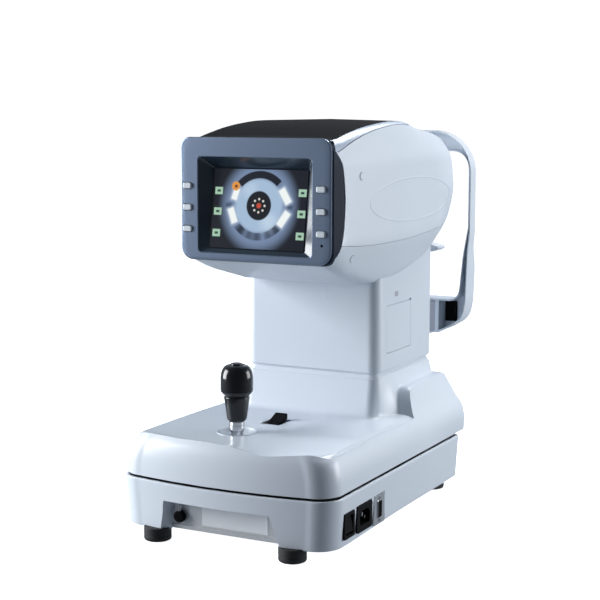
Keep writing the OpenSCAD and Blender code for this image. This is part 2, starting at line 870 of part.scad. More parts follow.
base_housing();
bottom_plate();
base_deck();
front_plate();
feet();
base_screws();
power_inlet();
switch_frame();
serial_port();
power_supply();
depth_rails();
rail_supports();
friction_pad();
headrest_post();
headrest_frame();
headrest_insert();
forehead_pad();
chin_guide();
transport_lock();
power_rocker();
slide_plate();
depth_bushings();
cross_bushings();
carriage_plate();
cross_rails();
rail_ends();
carriage_cover();
joystick_well();
joystick_socket();
guide_rods();
lift_motor();
lock_lever();
joystick_gimbal();
joystick_shaft();
joystick_grip();
trigger_button();
lift_screw();
column_cover();
column_sleeve();
head_housing();
head_lower_cover();
top_cover();
top_trim();
bezel();
lcd_panel();
lift_block();
optics_barrel();
objective_window();
mire_ring();
control_board();
printer_unit();
key_1();
key_2();
key_3();
key_4();
key_5();
key_6();
printer_door();
paper_roll();
chin_rest();
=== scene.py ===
"""Auto refractor with keratometer: its shells, screen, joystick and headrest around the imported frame.

Shape code is in millimetres on the frame's axes: +X is the operator's right, +Y points at the patient
and +Z is up. A mesh becomes metres when its object is made.
"""

import json
import math
from contextlib import contextmanager

import bmesh
import bpy
import numpy as np
from mathutils import Euler, Matrix, Vector


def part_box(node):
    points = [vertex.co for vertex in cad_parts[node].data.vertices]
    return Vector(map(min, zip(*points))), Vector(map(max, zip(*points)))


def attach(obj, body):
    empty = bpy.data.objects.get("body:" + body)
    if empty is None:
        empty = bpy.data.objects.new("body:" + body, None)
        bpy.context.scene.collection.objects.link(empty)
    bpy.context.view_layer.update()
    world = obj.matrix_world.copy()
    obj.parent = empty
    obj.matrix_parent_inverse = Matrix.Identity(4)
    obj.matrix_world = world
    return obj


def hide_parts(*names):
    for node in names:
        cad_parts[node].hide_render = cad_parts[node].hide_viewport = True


MM = 0.001

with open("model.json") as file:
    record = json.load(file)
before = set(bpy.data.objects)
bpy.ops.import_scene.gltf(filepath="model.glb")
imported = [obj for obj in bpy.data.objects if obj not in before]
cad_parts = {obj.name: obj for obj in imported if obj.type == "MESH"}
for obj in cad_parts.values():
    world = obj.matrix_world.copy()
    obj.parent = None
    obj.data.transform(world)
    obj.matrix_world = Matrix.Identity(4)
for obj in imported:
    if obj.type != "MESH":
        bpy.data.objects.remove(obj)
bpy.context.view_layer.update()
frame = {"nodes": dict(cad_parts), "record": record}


# ---------------------------------------------------------------- places from the frame


def box(node):
    """Lowest and highest corner of a CAD node, in millimetres."""
    low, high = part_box(node)
    return np.array(low) / MM, np.array(high) / MM


COLUMN_LOW, COLUMN_HIGH = box("column_cover")
DOOR_LOW, DOOR_HIGH = box("printer_door")
GRIP_LOW, GRIP_HIGH = box("joystick_grip")
SHAFT_HIGH = box("joystick_shaft")[1]
LEVER_LOW, LEVER_HIGH = box("lock_lever")
STICK = (GRIP_LOW + GRIP_HIGH) / 2


# ---------------------------------------------------------------- mesh helpers


@contextmanager
def editing(obj):
    """The object's mesh as a bmesh, which goes back into the object at the end."""
    bm = bmesh.new()
    bm.from_mesh(obj.data)
    yield bm
    bm.to_mesh(obj.data)
    bm.free()


def mesh_object(name, points, faces, outward=True):
    """An object from points in millimetres and faces of point numbers."""
    mesh = bpy.data.meshes.new(name)
    mesh.from_pydata((np.asarray(points, float) * MM).tolist(), [], [list(f) for f in faces])
    obj = bpy.data.objects.new(name, mesh)
    bpy.context.scene.collection.objects.link(obj)
    if outward:
        with editing(obj) as bm:
            bmesh.ops.recalc_face_normals(bm, faces=bm.faces)
    mesh.update()
    return obj


def loft(name, rings, closed=True, wrap=False, caps=False, outward=True):
    """Quads between rings of equally many points: wrap joins the last to the first, caps close the ends."""
    rings = np.asarray(rings, float)
    rows, size = rings.shape[:2]
    last_row = rows if wrap else rows - 1
    last_point = size if closed else size - 1
    faces = []
    for i in range(last_row):
        a = i * size
        b = (i + 1) % rows * size
        for k in range(last_point):
            n = (k + 1) % size
            faces.append((a + k, a + n, b + n, b + k))
    if caps:
        faces.append(range(size - 1, -1, -1))
        faces.append(range((rows - 1) * size, rows * size))
    return mesh_object(name, rings.reshape(-1, 3), faces, outward)


def bake(obj):
    """Applies the modifiers."""
    bpy.context.view_layer.update()
    graph = bpy.context.evaluated_depsgraph_get()
    mesh = bpy.data.meshes.new_from_object(obj.evaluated_get(graph))
    obj.modifiers.clear()
    obj.data = mesh
    return obj


def combine(obj, others, operation):
    for other in others:
        step = obj.modifiers.new("boolean", "BOOLEAN")
        step.operation = operation
        step.object = other
        step.solver = "EXACT"
    bake(obj)
    for other in others:
        bpy.data.objects.remove(other)
    return obj


def cut(obj, *tools):
    return combine(obj, tools, "DIFFERENCE")


def unite(obj, *others):
    return combine(obj, others, "UNION")


def thicken(obj, thickness):
    """Gives a skin its wall, on the inner side."""
    step = obj.modifiers.new("wall", "SOLIDIFY")
    step.thickness = thickness * MM
    step.offset = -1
    return bake(obj)


def soften(obj, width, segments=3, angle=35):
    """Rounds the edges that are sharper than the angle."""
    step = obj.modifiers.new("soft edges", "BEVEL")
    step.width = width * MM
    step.segments = segments
    step.limit_method = "ANGLE"
    step.angle_limit = math.radians(angle)
    step.use_clamp_overlap = True
    step.harden_normals = False
    return bake(obj)


def smooth(obj, angle):
    mesh = obj.data
    mesh.polygons.foreach_set("use_smooth", [True] * len(mesh.polygons))
    mesh.set_sharp_from_angle(angle=math.radians(angle))
    step = obj.modifiers.new("normals", "WEIGHTED_NORMAL")
    step.keep_sharp = True
    step.weight = 60
    return obj


def finish_piece(obj, body, slot, *nodes, look=None, angle=32):
    """Shades a piece, gives it its slot's material or its own, and says what it moves with and stands for."""
    smooth(obj, angle)
    obj.data.materials.clear()
    obj.data.materials.append(look or LOOKS[slot])
    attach(obj, body)
    if nodes:
        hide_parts(*nodes)
    return obj


def arc(cx, cy, r, a0, a1, n):
    """n + 1 points of a circular arc, angles in degrees."""
    t = np.radians(np.linspace(a0, a1, n + 1))
    return np.stack([cx + r * np.cos(t), cy + r * np.sin(t)], axis=1)


def round_rect(w, h, r, n):
    """Outline of a rectangle with round corners about the origin."""
    x, y = w / 2 - r, h / 2 - r
    return np.concatenate([arc(x, y, r, 0, 90, n), arc(-x, y, r, 90, 180, n),
                           arc(-x, -y, r, 180, 270, n), arc(x, -y, r, 270, 360, n)])


def fillet(points, radii, n, straight):
    """Open outline through points, with its inner corners rounded and the straights divided.

    Two corners that leave each other no room are both drawn smaller."""
    points = [np.array(p, float) for p in points]
    ways = [(q - p) / max(np.linalg.norm(q - p), 1e-9) for p, q in zip(points, points[1:])]
    turns = [math.acos(max(-1.0, min(1.0, float(a @ b)))) for a, b in zip(ways, ways[1:])]
    reaches = [0.0] + [r * math.tan(turn / 2) for r, turn in zip(radii, turns)] + [0.0]
    room = [min(1.0, np.linalg.norm(q - p) / max(a + b, 1e-9))
            for p, q, a, b in zip(points, points[1:], reaches, reaches[1:])]
    out = [points[0][None]]
    last = points[0]
    for k, (q, turn) in enumerate(zip(points[1:], turns)):
        u, v = -ways[k], ways[k + 1]
        r = radii[k] * min(room[k], room[k + 1])
        reach = r * math.tan(turn / 2)
        start, end = q + u * reach, q + v * reach
        t = np.linspace(0, 1, straight + 1)[1:-1, None]
        out.append(last + (start - last) * t)
        if turn < 1e-4:
            out.append(np.repeat(q[None], n + 1, axis=0) + np.linspace(-1e-3, 1e-3, n + 1)[:, None] * v)
        else:
            centre = q + (u + v) / np.linalg.norm(u + v) * r / math.cos(turn / 2)
            a, b = start - centre, end - centre
            w = np.linspace(0, 1, n + 1)
            out.append(np.array([centre + (a * math.sin((1 - k) * turn) + b * math.sin(k * turn))
                                 / math.sin(turn) for k in w]))
        last = end
    t = np.linspace(0, 1, straight + 1)[1:, None]
    out.append(last + (points[-1] - last) * t)
    return np.concatenate(out)


def lathe(name, profile, centre, axis="Z", steps=72):
    """A turned solid from (radius, height) points; its ends on the axis close it."""
    profile = np.asarray(profile, float)
    t = np.linspace(0, 2 * math.pi, steps, endpoint=False)
    rings = np.stack([np.outer(profile[:, 0], np.cos(t)), np.outer(profile[:, 0], np.sin(t)),
                      np.repeat(profile[:, 1:2], steps, axis=1)], axis=2)
    if axis == "Y":
        rings = rings[:, :, [0, 2, 1]]
    if axis == "X":
        rings = rings[:, :, [2, 0, 1]]
    obj = loft(name, rings + np.asarray(centre, float), caps=True)
    with editing(obj) as bm:
        bmesh.ops.remove_doubles(bm, verts=bm.verts, dist=1e-6)
        bmesh.ops.recalc_face_normals(bm, faces=bm.faces)
    return obj


def prism(name, outline, low, high, axis="Y"):
    """A straight solid: the outline's two columns are the plane's axes in X, Y, Z order."""
    outline = np.asarray(outline, float)
    rings = [np.insert(outline, "XYZ".index(axis), level, axis=1) for level in (low, high)]
    return loft(name, rings, caps=True)


def block(name, low, high):
    x0, y0, z0 = low
    x1, y1, z1 = high
    return prism(name, [(x0, y0), (x1, y0), (x1, y1), (x0, y1)], z0, z1, "Z")


def smooth_step(x):
    x = np.clip(x, 0, 1)
    return x * x * (3 - 2 * x)


def curve(xs, ys):
    """A smooth line through the points that never overshoots them."""
    xs = np.asarray(xs, float)
    ys = np.asarray(ys, float)
    step = np.diff(xs)
    slope = np.diff(ys) / step
    tangent = np.zeros(len(xs))
    same = slope[:-1] * slope[1:] > 0
    w1 = 2 * step[1:] + step[:-1]
    w2 = step[1:] + 2 * step[:-1]
    with np.errstate(divide="ignore", invalid="ignore"):
        mean = (w1 + w2) / (w1 / slope[:-1] + w2 / slope[1:])
    tangent[1:-1] = np.where(same, mean, 0)
    tangent[0] = slope[0]
    tangent[-1] = slope[-1]

    def value(x):
        x = np.clip(np.asarray(x, float), xs[0], xs[-1])
        i = np.clip(np.searchsorted(xs, x) - 1, 0, len(xs) - 2)
        h = step[i]
        t = (x - xs[i]) / h
        return ((1 + 2 * t) * (1 - t) ** 2 * ys[i] + t * (1 - t) ** 2 * h * tangent[i]
                + t * t * (3 - 2 * t) * ys[i + 1] + t * t * (t - 1) * h * tangent[i + 1])

    return value


# ---------------------------------------------------------------- materials


def node_material(name):
    look = bpy.data.materials.new(name)
    look.use_nodes = True
    nodes = look.node_tree.nodes
    return look, nodes, look.node_tree.links, nodes["Principled BSDF"]


def set_socket(node, **values):
    for key, value in values.items():
        node.inputs[key.replace("_", " ")].default_value = value


def grain(nodes, links, scale, detail=3.0, roughness=0.55, stretch=(1, 1, 1)):
    """Noise over the object's own coordinates, at a scale in features per metre."""
    place = nodes.new("ShaderNodeTexCoord")
    mapping = nodes.new("ShaderNodeMapping")
    mapping.inputs["Scale"].default_value = stretch
    noise = nodes.new("ShaderNodeTexNoise")
    set_socket(noise, Scale=scale, Detail=detail, Roughness=roughness)
    links.new(place.outputs["Object"], mapping.inputs["Vector"])
    links.new(mapping.outputs["Vector"], noise.inputs["Vector"])
    return noise.outputs["Fac"]


def spread(nodes, links, source, low, high):
    """Maps a 0 to 1 value to a range."""
    node = nodes.new("ShaderNodeMapRange")
    set_socket(node, To_Min=low, To_Max=high)
    links.new(source, node.inputs["Value"])
    return node.outputs["Result"]


def blend_colours(nodes, links, factor, first, second):
    node = nodes.new("ShaderNodeMix")
    node.data_type = "RGBA"
    node.inputs["A"].default_value = (*first, 1)
    node.inputs["B"].default_value = (*second, 1)
    links.new(factor, node.inputs["Factor"])
    return node.outputs["Result"]


def add_bump(nodes, links, shader, height, strength, distance):
    bump = nodes.new("ShaderNodeBump")
    set_socket(bump, Strength=strength, Distance=distance)
    links.new(height, bump.inputs["Height"])
    links.new(bump.outputs["Normal"], shader.inputs["Normal"])
    return bump


GLOSS_SPREAD = 0.05


def moulded_plastic(name, colour, shade, roughness, grain_scale=2600, bump=0.06, coat=0.0, metallic=0.0,
                    specular=0.5):
    """Moulded plastic: a faint tone drift, a fine spark-eroded grain and uneven gloss."""
    look, nodes, links, shader = node_material(name)
    drift = grain(nodes, links, 9, 2)
    fine = grain(nodes, links, grain_scale, 4)
    links.new(blend_colours(nodes, links, drift, colour, shade), shader.inputs["Base Color"])
    links.new(spread(nodes, links, fine, roughness - GLOSS_SPREAD, roughness + GLOSS_SPREAD),
              shader.inputs["Roughness"])
    add_bump(nodes, links, shader, fine, bump, 0.0002)
    set_socket(shader, Specular_IOR_Level=specular, Metallic=metallic, Coat_Weight=coat, Coat_Roughness=0.12)
    return look


def brushed_metal(name, colour, shade, roughness, stretch=(2, 60, 60), scale=40, bump=0.12, metallic=1.0):
    """Metal with fine straight brushing along the axis that is stretched least."""
    look, nodes, links, shader = node_material(name)
    lines = grain(nodes, links, scale, 5, 0.65, stretch)
    links.new(blend_colours(nodes, links, lines, colour, shade), shader.inputs["Base Color"])
    links.new(spread(nodes, links, lines, roughness - 0.08, roughness + 0.12), shader.inputs["Roughness"])
    add_bump(nodes, links, shader, lines, bump, 0.0001)
    set_socket(shader, Metallic=metallic)
    return look


SHELL_WHITE = moulded_plastic("shell_plastic", (0.70, 0.755, 0.83), (0.66, 0.72, 0.80), 0.36, coat=0.12)
BEZEL_BLUE = moulded_plastic("bezel_paint", (0.18, 0.235, 0.335), (0.15, 0.20, 0.29), 0.34, 3200, 0.05, 0.35,
                             metallic=0.55)
# Painted shade: a near-black copy of the bezel paint for the screen recess walls, which are bezel paint lying
# in shade.
BEZEL_RECESS_SHADE = moulded_plastic("bezel_recess_painted_shade", (0.018, 0.035, 0.055), (0.012, 0.026, 0.042), 0.25, 3200, 0.03,
                             0.3)
SATIN_BLACK = moulded_plastic("satin_black_plastic", (0.0035, 0.0035, 0.004), (0.006, 0.006, 0.007), 0.55, 2200,
                              0.1, specular=0.05)
GLOSS_BLACK = moulded_plastic("gloss_black_plastic", (0.004, 0.005, 0.007), (0.007, 0.008, 0.011), 0.16, 1800,
                              0.02, 0.35, specular=0.35)
# Painted shade: a darker, rougher copy of the bezel paint for the bezel's side band, which is the same moulding
# turned away from the light.
BEZEL_SIDE_SHADE = moulded_plastic("bezel_side", (0.010, 0.019, 0.040), (0.008, 0.015, 0.032), 0.6, 3200, 0.05,
                             specular=0.14)
TRIM_SILVER = moulded_plastic("silver_paint", (0.44, 0.50, 0.60), (0.40, 0.46, 0.56), 0.40, 3000, 0.04, 0.1,
                              metallic=0.35)
KEY_GREY = moulded_plastic("key_plastic", (0.66, 0.71, 0.76), (0.60, 0.65, 0.70), 0.40)
# Painted shadow: dark grey for the thin ring round each screw cap, standing for the shade in the joint.
JOINT_SHADOW = moulded_plastic("joint_shadow", (0.20, 0.23, 0.28), (0.17, 0.20, 0.25), 0.5)
REST_WHITE = moulded_plastic("rest_plastic", (0.74, 0.78, 0.84), (0.70, 0.74, 0.80), 0.48, 1800, 0.08)
INSERT_GREY = moulded_plastic("insert_plastic", (0.42, 0.44, 0.50), (0.38, 0.40, 0.46), 0.42, 2200, 0.08)
RUBBER = moulded_plastic("foot_rubber", (0.010, 0.010, 0.011), (0.022, 0.021, 0.021), 0.62, 1500, 0.25)
CHROME = brushed_metal("chrome", (0.66, 0.66, 0.68), (0.60, 0.60, 0.63), 0.13, (60, 60, 2), 30, 0.015)
STEEL = brushed_metal("ground_steel", (0.56, 0.57, 0.59), (0.46, 0.47, 0.49), 0.28, (60, 2, 60), 40, 0.08)
ALUMINIUM = brushed_metal("machined_aluminium", (0.60, 0.62, 0.65), (0.50, 0.52, 0.55), 0.36)
PLATE = brushed_metal("brushed_plate", (0.74, 0.75, 0.77), (0.60, 0.61, 0.63), 0.34, (60, 2, 2), 40, 0.15, 0.55)
DARK_PLATE = moulded_plastic("dark_coating", (0.030, 0.033, 0.038), (0.045, 0.048, 0.055), 0.5, 1200, 0.3)
PAPER = moulded_plastic("thermal_paper", (0.82, 0.82, 0.80), (0.77, 0.77, 0.74), 0.7, 900, 0.15)
LABEL = moulded_plastic("printed_label", (0.82, 0.84, 0.87), (0.76, 0.78, 0.82), 0.4, 1500, 0.05)
BOARD = moulded_plastic("solder_mask", (0.010, 0.12, 0.045), (0.014, 0.16, 0.06), 0.3, 600, 0.1)


def glass_material():
    look, nodes, links, shader = node_material("coated_glass")
    fine = grain(nodes, links, 400)
    links.new(spread(nodes, links, fine, 0.02, 0.06), shader.inputs["Roughness"])
    links.new(blend_colours(nodes, links, fine, (0.42, 0.50, 0.66), (0.46, 0.54, 0.70)),
              shader.inputs["Base Color"])
    set_socket(shader, Transmission_Weight=0.6, IOR=1.5, Coat_Weight=0.6)
    return look


GLASS = glass_material()

LOOKS = {
    "ground_steel": STEEL, "machined_aluminium": ALUMINIUM, "brushed_plate": PLATE, "dark_plate": DARK_PLATE,
    "satin_black": SATIN_BLACK, "gloss_black": GLOSS_BLACK, "board_green": BOARD, "lens_glass": GLASS,
    "paper_white": PAPER, "shell_white": SHELL_WHITE, "insert_grey": INSERT_GREY, "trim_silver": TRIM_SILVER,
    "rubber_black": RUBBER, "chrome": CHROME, "screen_dark": GLOSS_BLACK, "rest_white": REST_WHITE,
    "key_grey": KEY_GREY, "bezel_blue": BEZEL_BLUE}


# ---------------------------------------------------------------- outlines of the base and the cover

FRONT_STEPS = 36
CORNER_STEPS = 14
SIDE_STEPS = 24
SHOULDER_STEPS = 26
REAR_STEPS = 6
BACK_STEPS = 12
NOTCH_Y = 4.0
NOTCH_LEAN = 24.0


def plan(half, front, rear, front_r, rear_r, bow):
    """Closed plan outline of fixed point counts, from the middle of the bowed front round by the right.

    Every outline has its side points at the same places round the notch in front of the shoulders."""
    corner_x = half - front_r
    xs = np.linspace(0, corner_x, FRONT_STEPS, endpoint=False)
    front_edge = np.stack([xs, front + bow * (xs / corner_x) ** 2], axis=1)
    corner_y = front + bow + front_r
    corner = arc(corner_x, corner_y, front_r, 270, 360, CORNER_STEPS)
    before = np.linspace(corner_y, NOTCH_Y - 3, SIDE_STEPS)[1:]
    at_notch = NOTCH_Y + NOTCH_LEAN * np.array([-0.06, 0, 0.06, 0.14, 0.24, 0.35, 0.47, 0.6, 0.73, 0.86, 1.0])
    after = np.linspace(NOTCH_Y + NOTCH_LEAN + 4, rear - rear_r, SHOULDER_STEPS)[:-1]
    side_y = np.concatenate([before, at_notch, after])
    side = np.stack([np.full(len(side_y), half), side_y], axis=1)
    rear_corner = arc(half - rear_r, rear - rear_r, rear_r, 0, 90, REAR_STEPS)
    back_x = np.linspace(half - rear_r, 0, BACK_STEPS + 1)[1:]
    back = np.stack([back_x, np.full(BACK_STEPS, rear)], axis=1)
    right = np.concatenate([front_edge, corner, side, rear_corner, back])
    left = right[1:-1][::-1] * [-1, 1]
    return np.concatenate([right, left])


def at_height(outline, z):
    """An outline in X and Y as points at a height, or at a height for each."""
    return np.column_stack([outline, np.broadcast_to(np.asarray(z, float), len(outline))])


# ---------------------------------------------------------------- base

BASE_HALF = 131.0
BASE_FRONT = -245.0
BASE_REAR = 124.0
BASE_TOP = 67.0
FOOT_H = 13.0
REAR_LIFT = 2.4
BOW = 9.0
WALL = 3.0
DRAFT = 3.0
RECESS_BACK = -226.0
SIDE_X = 130.8
SWITCH_PLACE = (-193.0, 35.0)
INLET_PLACE = (-155.5, 34.5)
SERIAL_PLACE = (-116.5, 33.0)


def base_ring(z, inset):
    """Outline of the base at a height: its sides lean in and its bottom lifts a little towards the rear."""
    lean = DRAFT * (BASE_TOP - z) / (BASE_TOP - FOOT_H)
    gap = inset + lean
    outline = plan(BASE_HALF - gap, BASE_FRONT + gap, BASE_REAR - inset - lean / 3,
                   28 - inset, 8 - min(inset, 4), BOW)
    lift = REAR_LIFT * smooth_step((outline[:, 1] + 200) / 150)
    return at_height(outline, z + lift * (BASE_TOP - z) / (BASE_TOP - FOOT_H))


def port_cutter(y, z, width, height, x_from):
    """Cuts a rectangular pocket in from the right side as far as x_from."""
    return block("cutter", (x_from, y - width / 2, z - height / 2), (140, y + width / 2, z + height / 2))


def make_base():
    skin = [(FOOT_H, 1.4), (FOOT_H + 0.5, 0.5), (FOOT_H + 1.5, 0)]
    skin += [(z, 0) for z in np.linspace(FOOT_H + 6, BASE_TOP - 5, 6)]
    skin += [(BASE_TOP - 1.4, 0), (BASE_TOP - 0.4, 0.4), (BASE_TOP, 1.3)]
    skin += [(BASE_TOP, WALL), (BASE_TOP - 4, WALL), (FOOT_H + 4, WALL), (FOOT_H, WALL)]
    shell = loft("base_shell", [base_ring(z, inset) for z, inset in skin], wrap=True)
    core = loft("core", [base_ring(FOOT_H + 0.2, 0.3), base_ring(BASE_TOP - 1, 0.3)],
                caps=True)
    behind = block("behind", (-85, -250, FOOT_H), (78, RECESS_BACK + 0.3, 51))
    combine(core, [behind], "INTERSECT")
    unite(shell, core)
    near = [(-81.5, 10), (74.6, 10), (62, 47.5), (-72, 47.5)]
    far = [(-66, 10), (71.6, 10), (59, 46.5), (-60, 46.5)]
    window = loft("window", [[(x, BASE_FRONT - 2, z) for x, z in near],
                             [(x, RECESS_BACK + 1, z) for x, z in far]], caps=True)
    ports = []
    for place, flange, body in [(SWITCH_PLACE, (26.4, 28.4), (22, 24)), (INLET_PLACE, (39.6, 30.6), (30, 22)),
                                (SERIAL_PLACE, (28.6, 33.6), (14, 26))]:
        ports += [port_cutter(*place, *flange, 128.2), port_cutter(*place, *body, 110)]
    cut(shell, window, *ports)
    soften(shell, 0.7, 2, 40)
    finish_piece(shell, "base", "shell_white", "base_housing")


# ---------------------------------------------------------------- cover of the carriage

COVER_FOOT = 70.0
COVER_WALL = 2.4
EDGE_Z = 111.2
LEDGE_Z = 140.0
NECK_HALF = 86.2
NECK_FRONT = -27.4
NECK_LEAN = 7.6
NECK_REAR = 133.0
NECK_TOP = 160.0
NECK_R = 12.0
NECK_REAR_R = 6.0
FLARE = 0.3
CHAMFER_FOOT = 4.5
WELL_R = 22.8

wall_half = curve([70, 82, 97, 105, 110, 125, 140], [129, 128.6, 126, 122.5, 118.5, 111, 104.8])
wall_front = curve([70, 88, 100, 107, 112, 115, 118, 140],
                   [-244, -243.6, -242.4, -240.4, -237.6, -235.4, -233.6, -232])
wall_rear = curve([70, 100, 120, 140], [147, 145.5, 143, 139])
crest = curve([-125, -75, -50, -28, 8, 30, 50, 80, 110, 128],
              [117.2, 116.6, 116.0, 116.3, 115.2, 111.8, 109.2, 111.4, 114.0, 114.2])
LIP_DEPTH = 26.0
palm_edge = curve([14, 71, 130], [-166, -136, -128])


def platform(x, y):
    """Height of the top of the cover: a level deck behind a wavy front lip, and a raised palm rest on the
    right."""
    start = -236 + BOW * np.clip(np.abs(x) / 101, 0, 1) ** 2
    behind = np.clip((y - start) / LIP_DEPTH, 0, 1)
    lip = (crest(x) - EDGE_Z) * (1 - behind) ** 2
    palm = smooth_step((x - 6) / 26) * smooth_step((y - palm_edge(x) + 8) / 18)
    fall = 0.6 * smooth_step((y + 110) / 100)
    return EDGE_Z + lip + 1.2 * palm - fall


def cover_top(x, y):
    """Height of the cover: the platform in front of the notch, and the ledge round the neck behind it."""
    risen = np.sin(np.clip((y - NOTCH_Y) / NOTCH_LEAN, 0, 1) * math.pi / 2)
    return platform(x, y) * (1 - risen) + LEDGE_Z * risen


def neck_line(z):
    """Outline of the neck at a height for each of its points: its sides flare out beside the notch."""
    foot = plan(NECK_HALF, NECK_FRONT - NECK_LEAN, NECK_REAR, NECK_R, NECK_REAR_R, 0.01)
    top = plan(NECK_HALF, NECK_FRONT, NECK_REAR, NECK_R, NECK_REAR_R, 0.01)
    z = np.broadcast_to(np.asarray(z, float), len(foot))
    line = foot + (top - foot) * ((z - 110) / (NECK_TOP - 110)).clip(0, 1)[:, None]
    flare = np.clip((line[:, 1] - NECK_FRONT) / (NOTCH_Y - NECK_FRONT), 0, 1)
    outer = np.clip((np.abs(line[:, 0]) - 30) / (NECK_HALF - 30), 0, 1)
    line[:, 0] += np.sign(line[:, 0]) * flare * outer * FLARE * np.clip(NECK_TOP - CHAMFER_FOOT - z, 0, 60)
    return line


def make_cover():
    levels = np.linspace(COVER_FOOT, LEDGE_Z, 48)
    table = np.array([plan(float(wall_half(z)), float(wall_front(z)), float(wall_rear(z)), 28, 8, BOW)
                      for z in levels])

    def wall(z):
        """The outer wall at a height for each point of the outline."""
        at = np.interp(z, levels, np.arange(len(levels)))
        low = np.minimum(at.astype(int), len(levels) - 2)
        share = (at - low)[:, None]
        every = np.arange(len(z))
        out = table[low, every] * (1 - share) + table[low + 1, every] * share
        round_part = np.sin((z - COVER_FOOT) / (LEDGE_Z - COVER_FOOT) * math.pi)
        out[:, 0] *= 1 + 0.022 * smooth_step((out[:, 1] - 30) / 70) * round_part
        return out

    edge = wall(np.full(table.shape[1], EDGE_Z))
    for _ in range(6):
        edge = wall(cover_top(edge[:, 0], edge[:, 1]))
    edge_z = cover_top(edge[:, 0], edge[:, 1])
    on_right = smooth_step(edge[:, 0] / 60) * (1 - smooth_step((edge[:, 1] - NOTCH_Y) / NOTCH_LEAN))
    roll = 5 + 9 * on_right
    at_front = 1 - smooth_step((edge[:, 1] + 226) / 12)
    roll_drop = (1.4 + 1.8 * on_right) * (1 - 0.9 * at_front)
    rim_z = edge_z - roll_drop
    rings = []
    for share in (0, 0.1, 0.25, 0.4, 0.52, 0.62, 0.7, 0.77, 0.83, 0.88, 0.92, 0.96, 1.0):
        z = COVER_FOOT + (rim_z - COVER_FOOT) * share
        rings.append(at_height(wall(z), z))
    root = neck_line(edge_z)
    for _ in range(6):
        root = neck_line(cover_top(root[:, 0], root[:, 1]))
    flare = np.clip((root[:, 1] - NECK_FRONT) / 20, 0, 1)
    radius = 7 - 5 * flare
    out = edge - root
    out = out / np.linalg.norm(out, axis=1)[:, None]
    start_line = root + out * radius[:, None]
    shares = np.concatenate([np.linspace(0, 0.26, 48), np.linspace(0.26, 1, 44)[1:]])
    for share in shares:
        flat = edge + (start_line - edge) * share
        away = np.linalg.norm(flat - edge, axis=1)
        drop = roll_drop * np.clip(1 - away / roll, 0, 1) ** 2
        rings.append(at_height(flat, cover_top(flat[:, 0], flat[:, 1]) - drop))
    start_z = cover_top(start_line[:, 0], start_line[:, 1])
    low = start_z + radius
    foot = neck_line(low)
    for angle in np.radians([18, 36, 54, 72, 90]):
        flat = start_line + (foot - start_line) * math.sin(angle)
        rings.append(at_height(flat, start_z + radius * (1 - math.cos(angle))))
    for share in np.linspace(0, 1, 9)[1:]:
        z = low + (NECK_TOP - CHAMFER_FOOT - low) * share
        rings.append(at_height(neck_line(z), z))
    neck_top = neck_line(NECK_TOP)
    rim = plan(NECK_HALF - 3, NECK_FRONT + 3, NECK_REAR - 3, NECK_R - 2.5, NECK_REAR_R - 2.5, 0.01)
    for share, drop in ((0.2, 4.3), (0.28, 4.0), (0.92, 0.4), (1.0, 0.0)):
        rings.append(at_height(neck_top + (rim - neck_top) * share, NECK_TOP - drop))
    cover = loft("carriage_cover_shell", rings, outward=False)
    with editing(cover) as bm:
        bmesh.ops.recalc_face_normals(bm, faces=bm.faces)
        foremost = min(bm.faces, key=lambda f: f.calc_center_median().y)
        if foremost.normal.y > 0:
            bmesh.ops.reverse_faces(bm, faces=bm.faces)
    thicken(cover, COVER_WALL)
    hole = lathe("cutter", [(0, 80), (WELL_R, 80), (WELL_R, 125), (0, 125)], (STICK[0], STICK[1], 0))
    slot = block("cutter", (LEVER_LOW[0] + 0.4, LEVER_LOW[1] - 2, 96),
                 (LEVER_HIGH[0] - 0.4, LEVER_HIGH[1] + 1.5, 125))
    cut(cover, hole, slot)
    finish_piece(cover, "carriage", "shell_white", "carriage_cover", angle=34)


# ---------------------------------------------------------------- column

COLUMN_R = 13.0
COLUMN_REAR_R = 5.0
COLUMN_FOOT = 161.6
COLUMN_END = 300.0
DOOR_POCKET = 1.4
DOOR_GAP = 0.35


def make_column():
    low, high = COLUMN_LOW, COLUMN_HIGH
    steps = [(COLUMN_FOOT, 2.4), (COLUMN_FOOT + 0.5, 1.1), (COLUMN_FOOT + 1.6, 0.2), (COLUMN_FOOT + 3, 0)]
    steps += [(z, 0) for z in np.linspace(172, COLUMN_END, 14)]
    rings = []
    for z, inset in steps:
        outline = plan(high[0] - inset, low[1] + inset, high[1] - inset, COLUMN_R - inset,
                       COLUMN_REAR_R - inset, 0.01)
        rings.append(at_height(outline, z))
    shell = loft("column_shell", rings)
    thicken(shell, COVER_WALL)
    side = high[0]
    pocket = block("cutter", (side - DOOR_POCKET, DOOR_LOW[1] - DOOR_GAP, DOOR_LOW[2] - DOOR_GAP),
                   (side + 5, DOOR_HIGH[1] + DOOR_GAP, DOOR_HIGH[2] + DOOR_GAP))
    slot = block("cutter", (side - 1.9, DOOR_LOW[1] - 0.2, DOOR_HIGH[2] + 0.2),
                 (side + 5, DOOR_HIGH[1] + 1.4, DOOR_HIGH[2] + 2.2))
    relief = block("cutter", (side - 5, DOOR_LOW[1] - DOOR_GAP, DOOR_LOW[2] - DOOR_GAP),
                   (side + 5, DOOR_HIGH[1] + DOOR_GAP, DOOR_LOW[2] + 5))
    seam = block("cutter", (NECK_HALF * 0.26, low[1] - 1, COLUMN_END - 56),
                 (NECK_HALF * 0.26 + 0.35, low[1] + 0.35, COLUMN_END))
    cut(shell, pocket, slot, relief, seam)
    finish_piece(shell, "head", "shell_white", "column_cover")


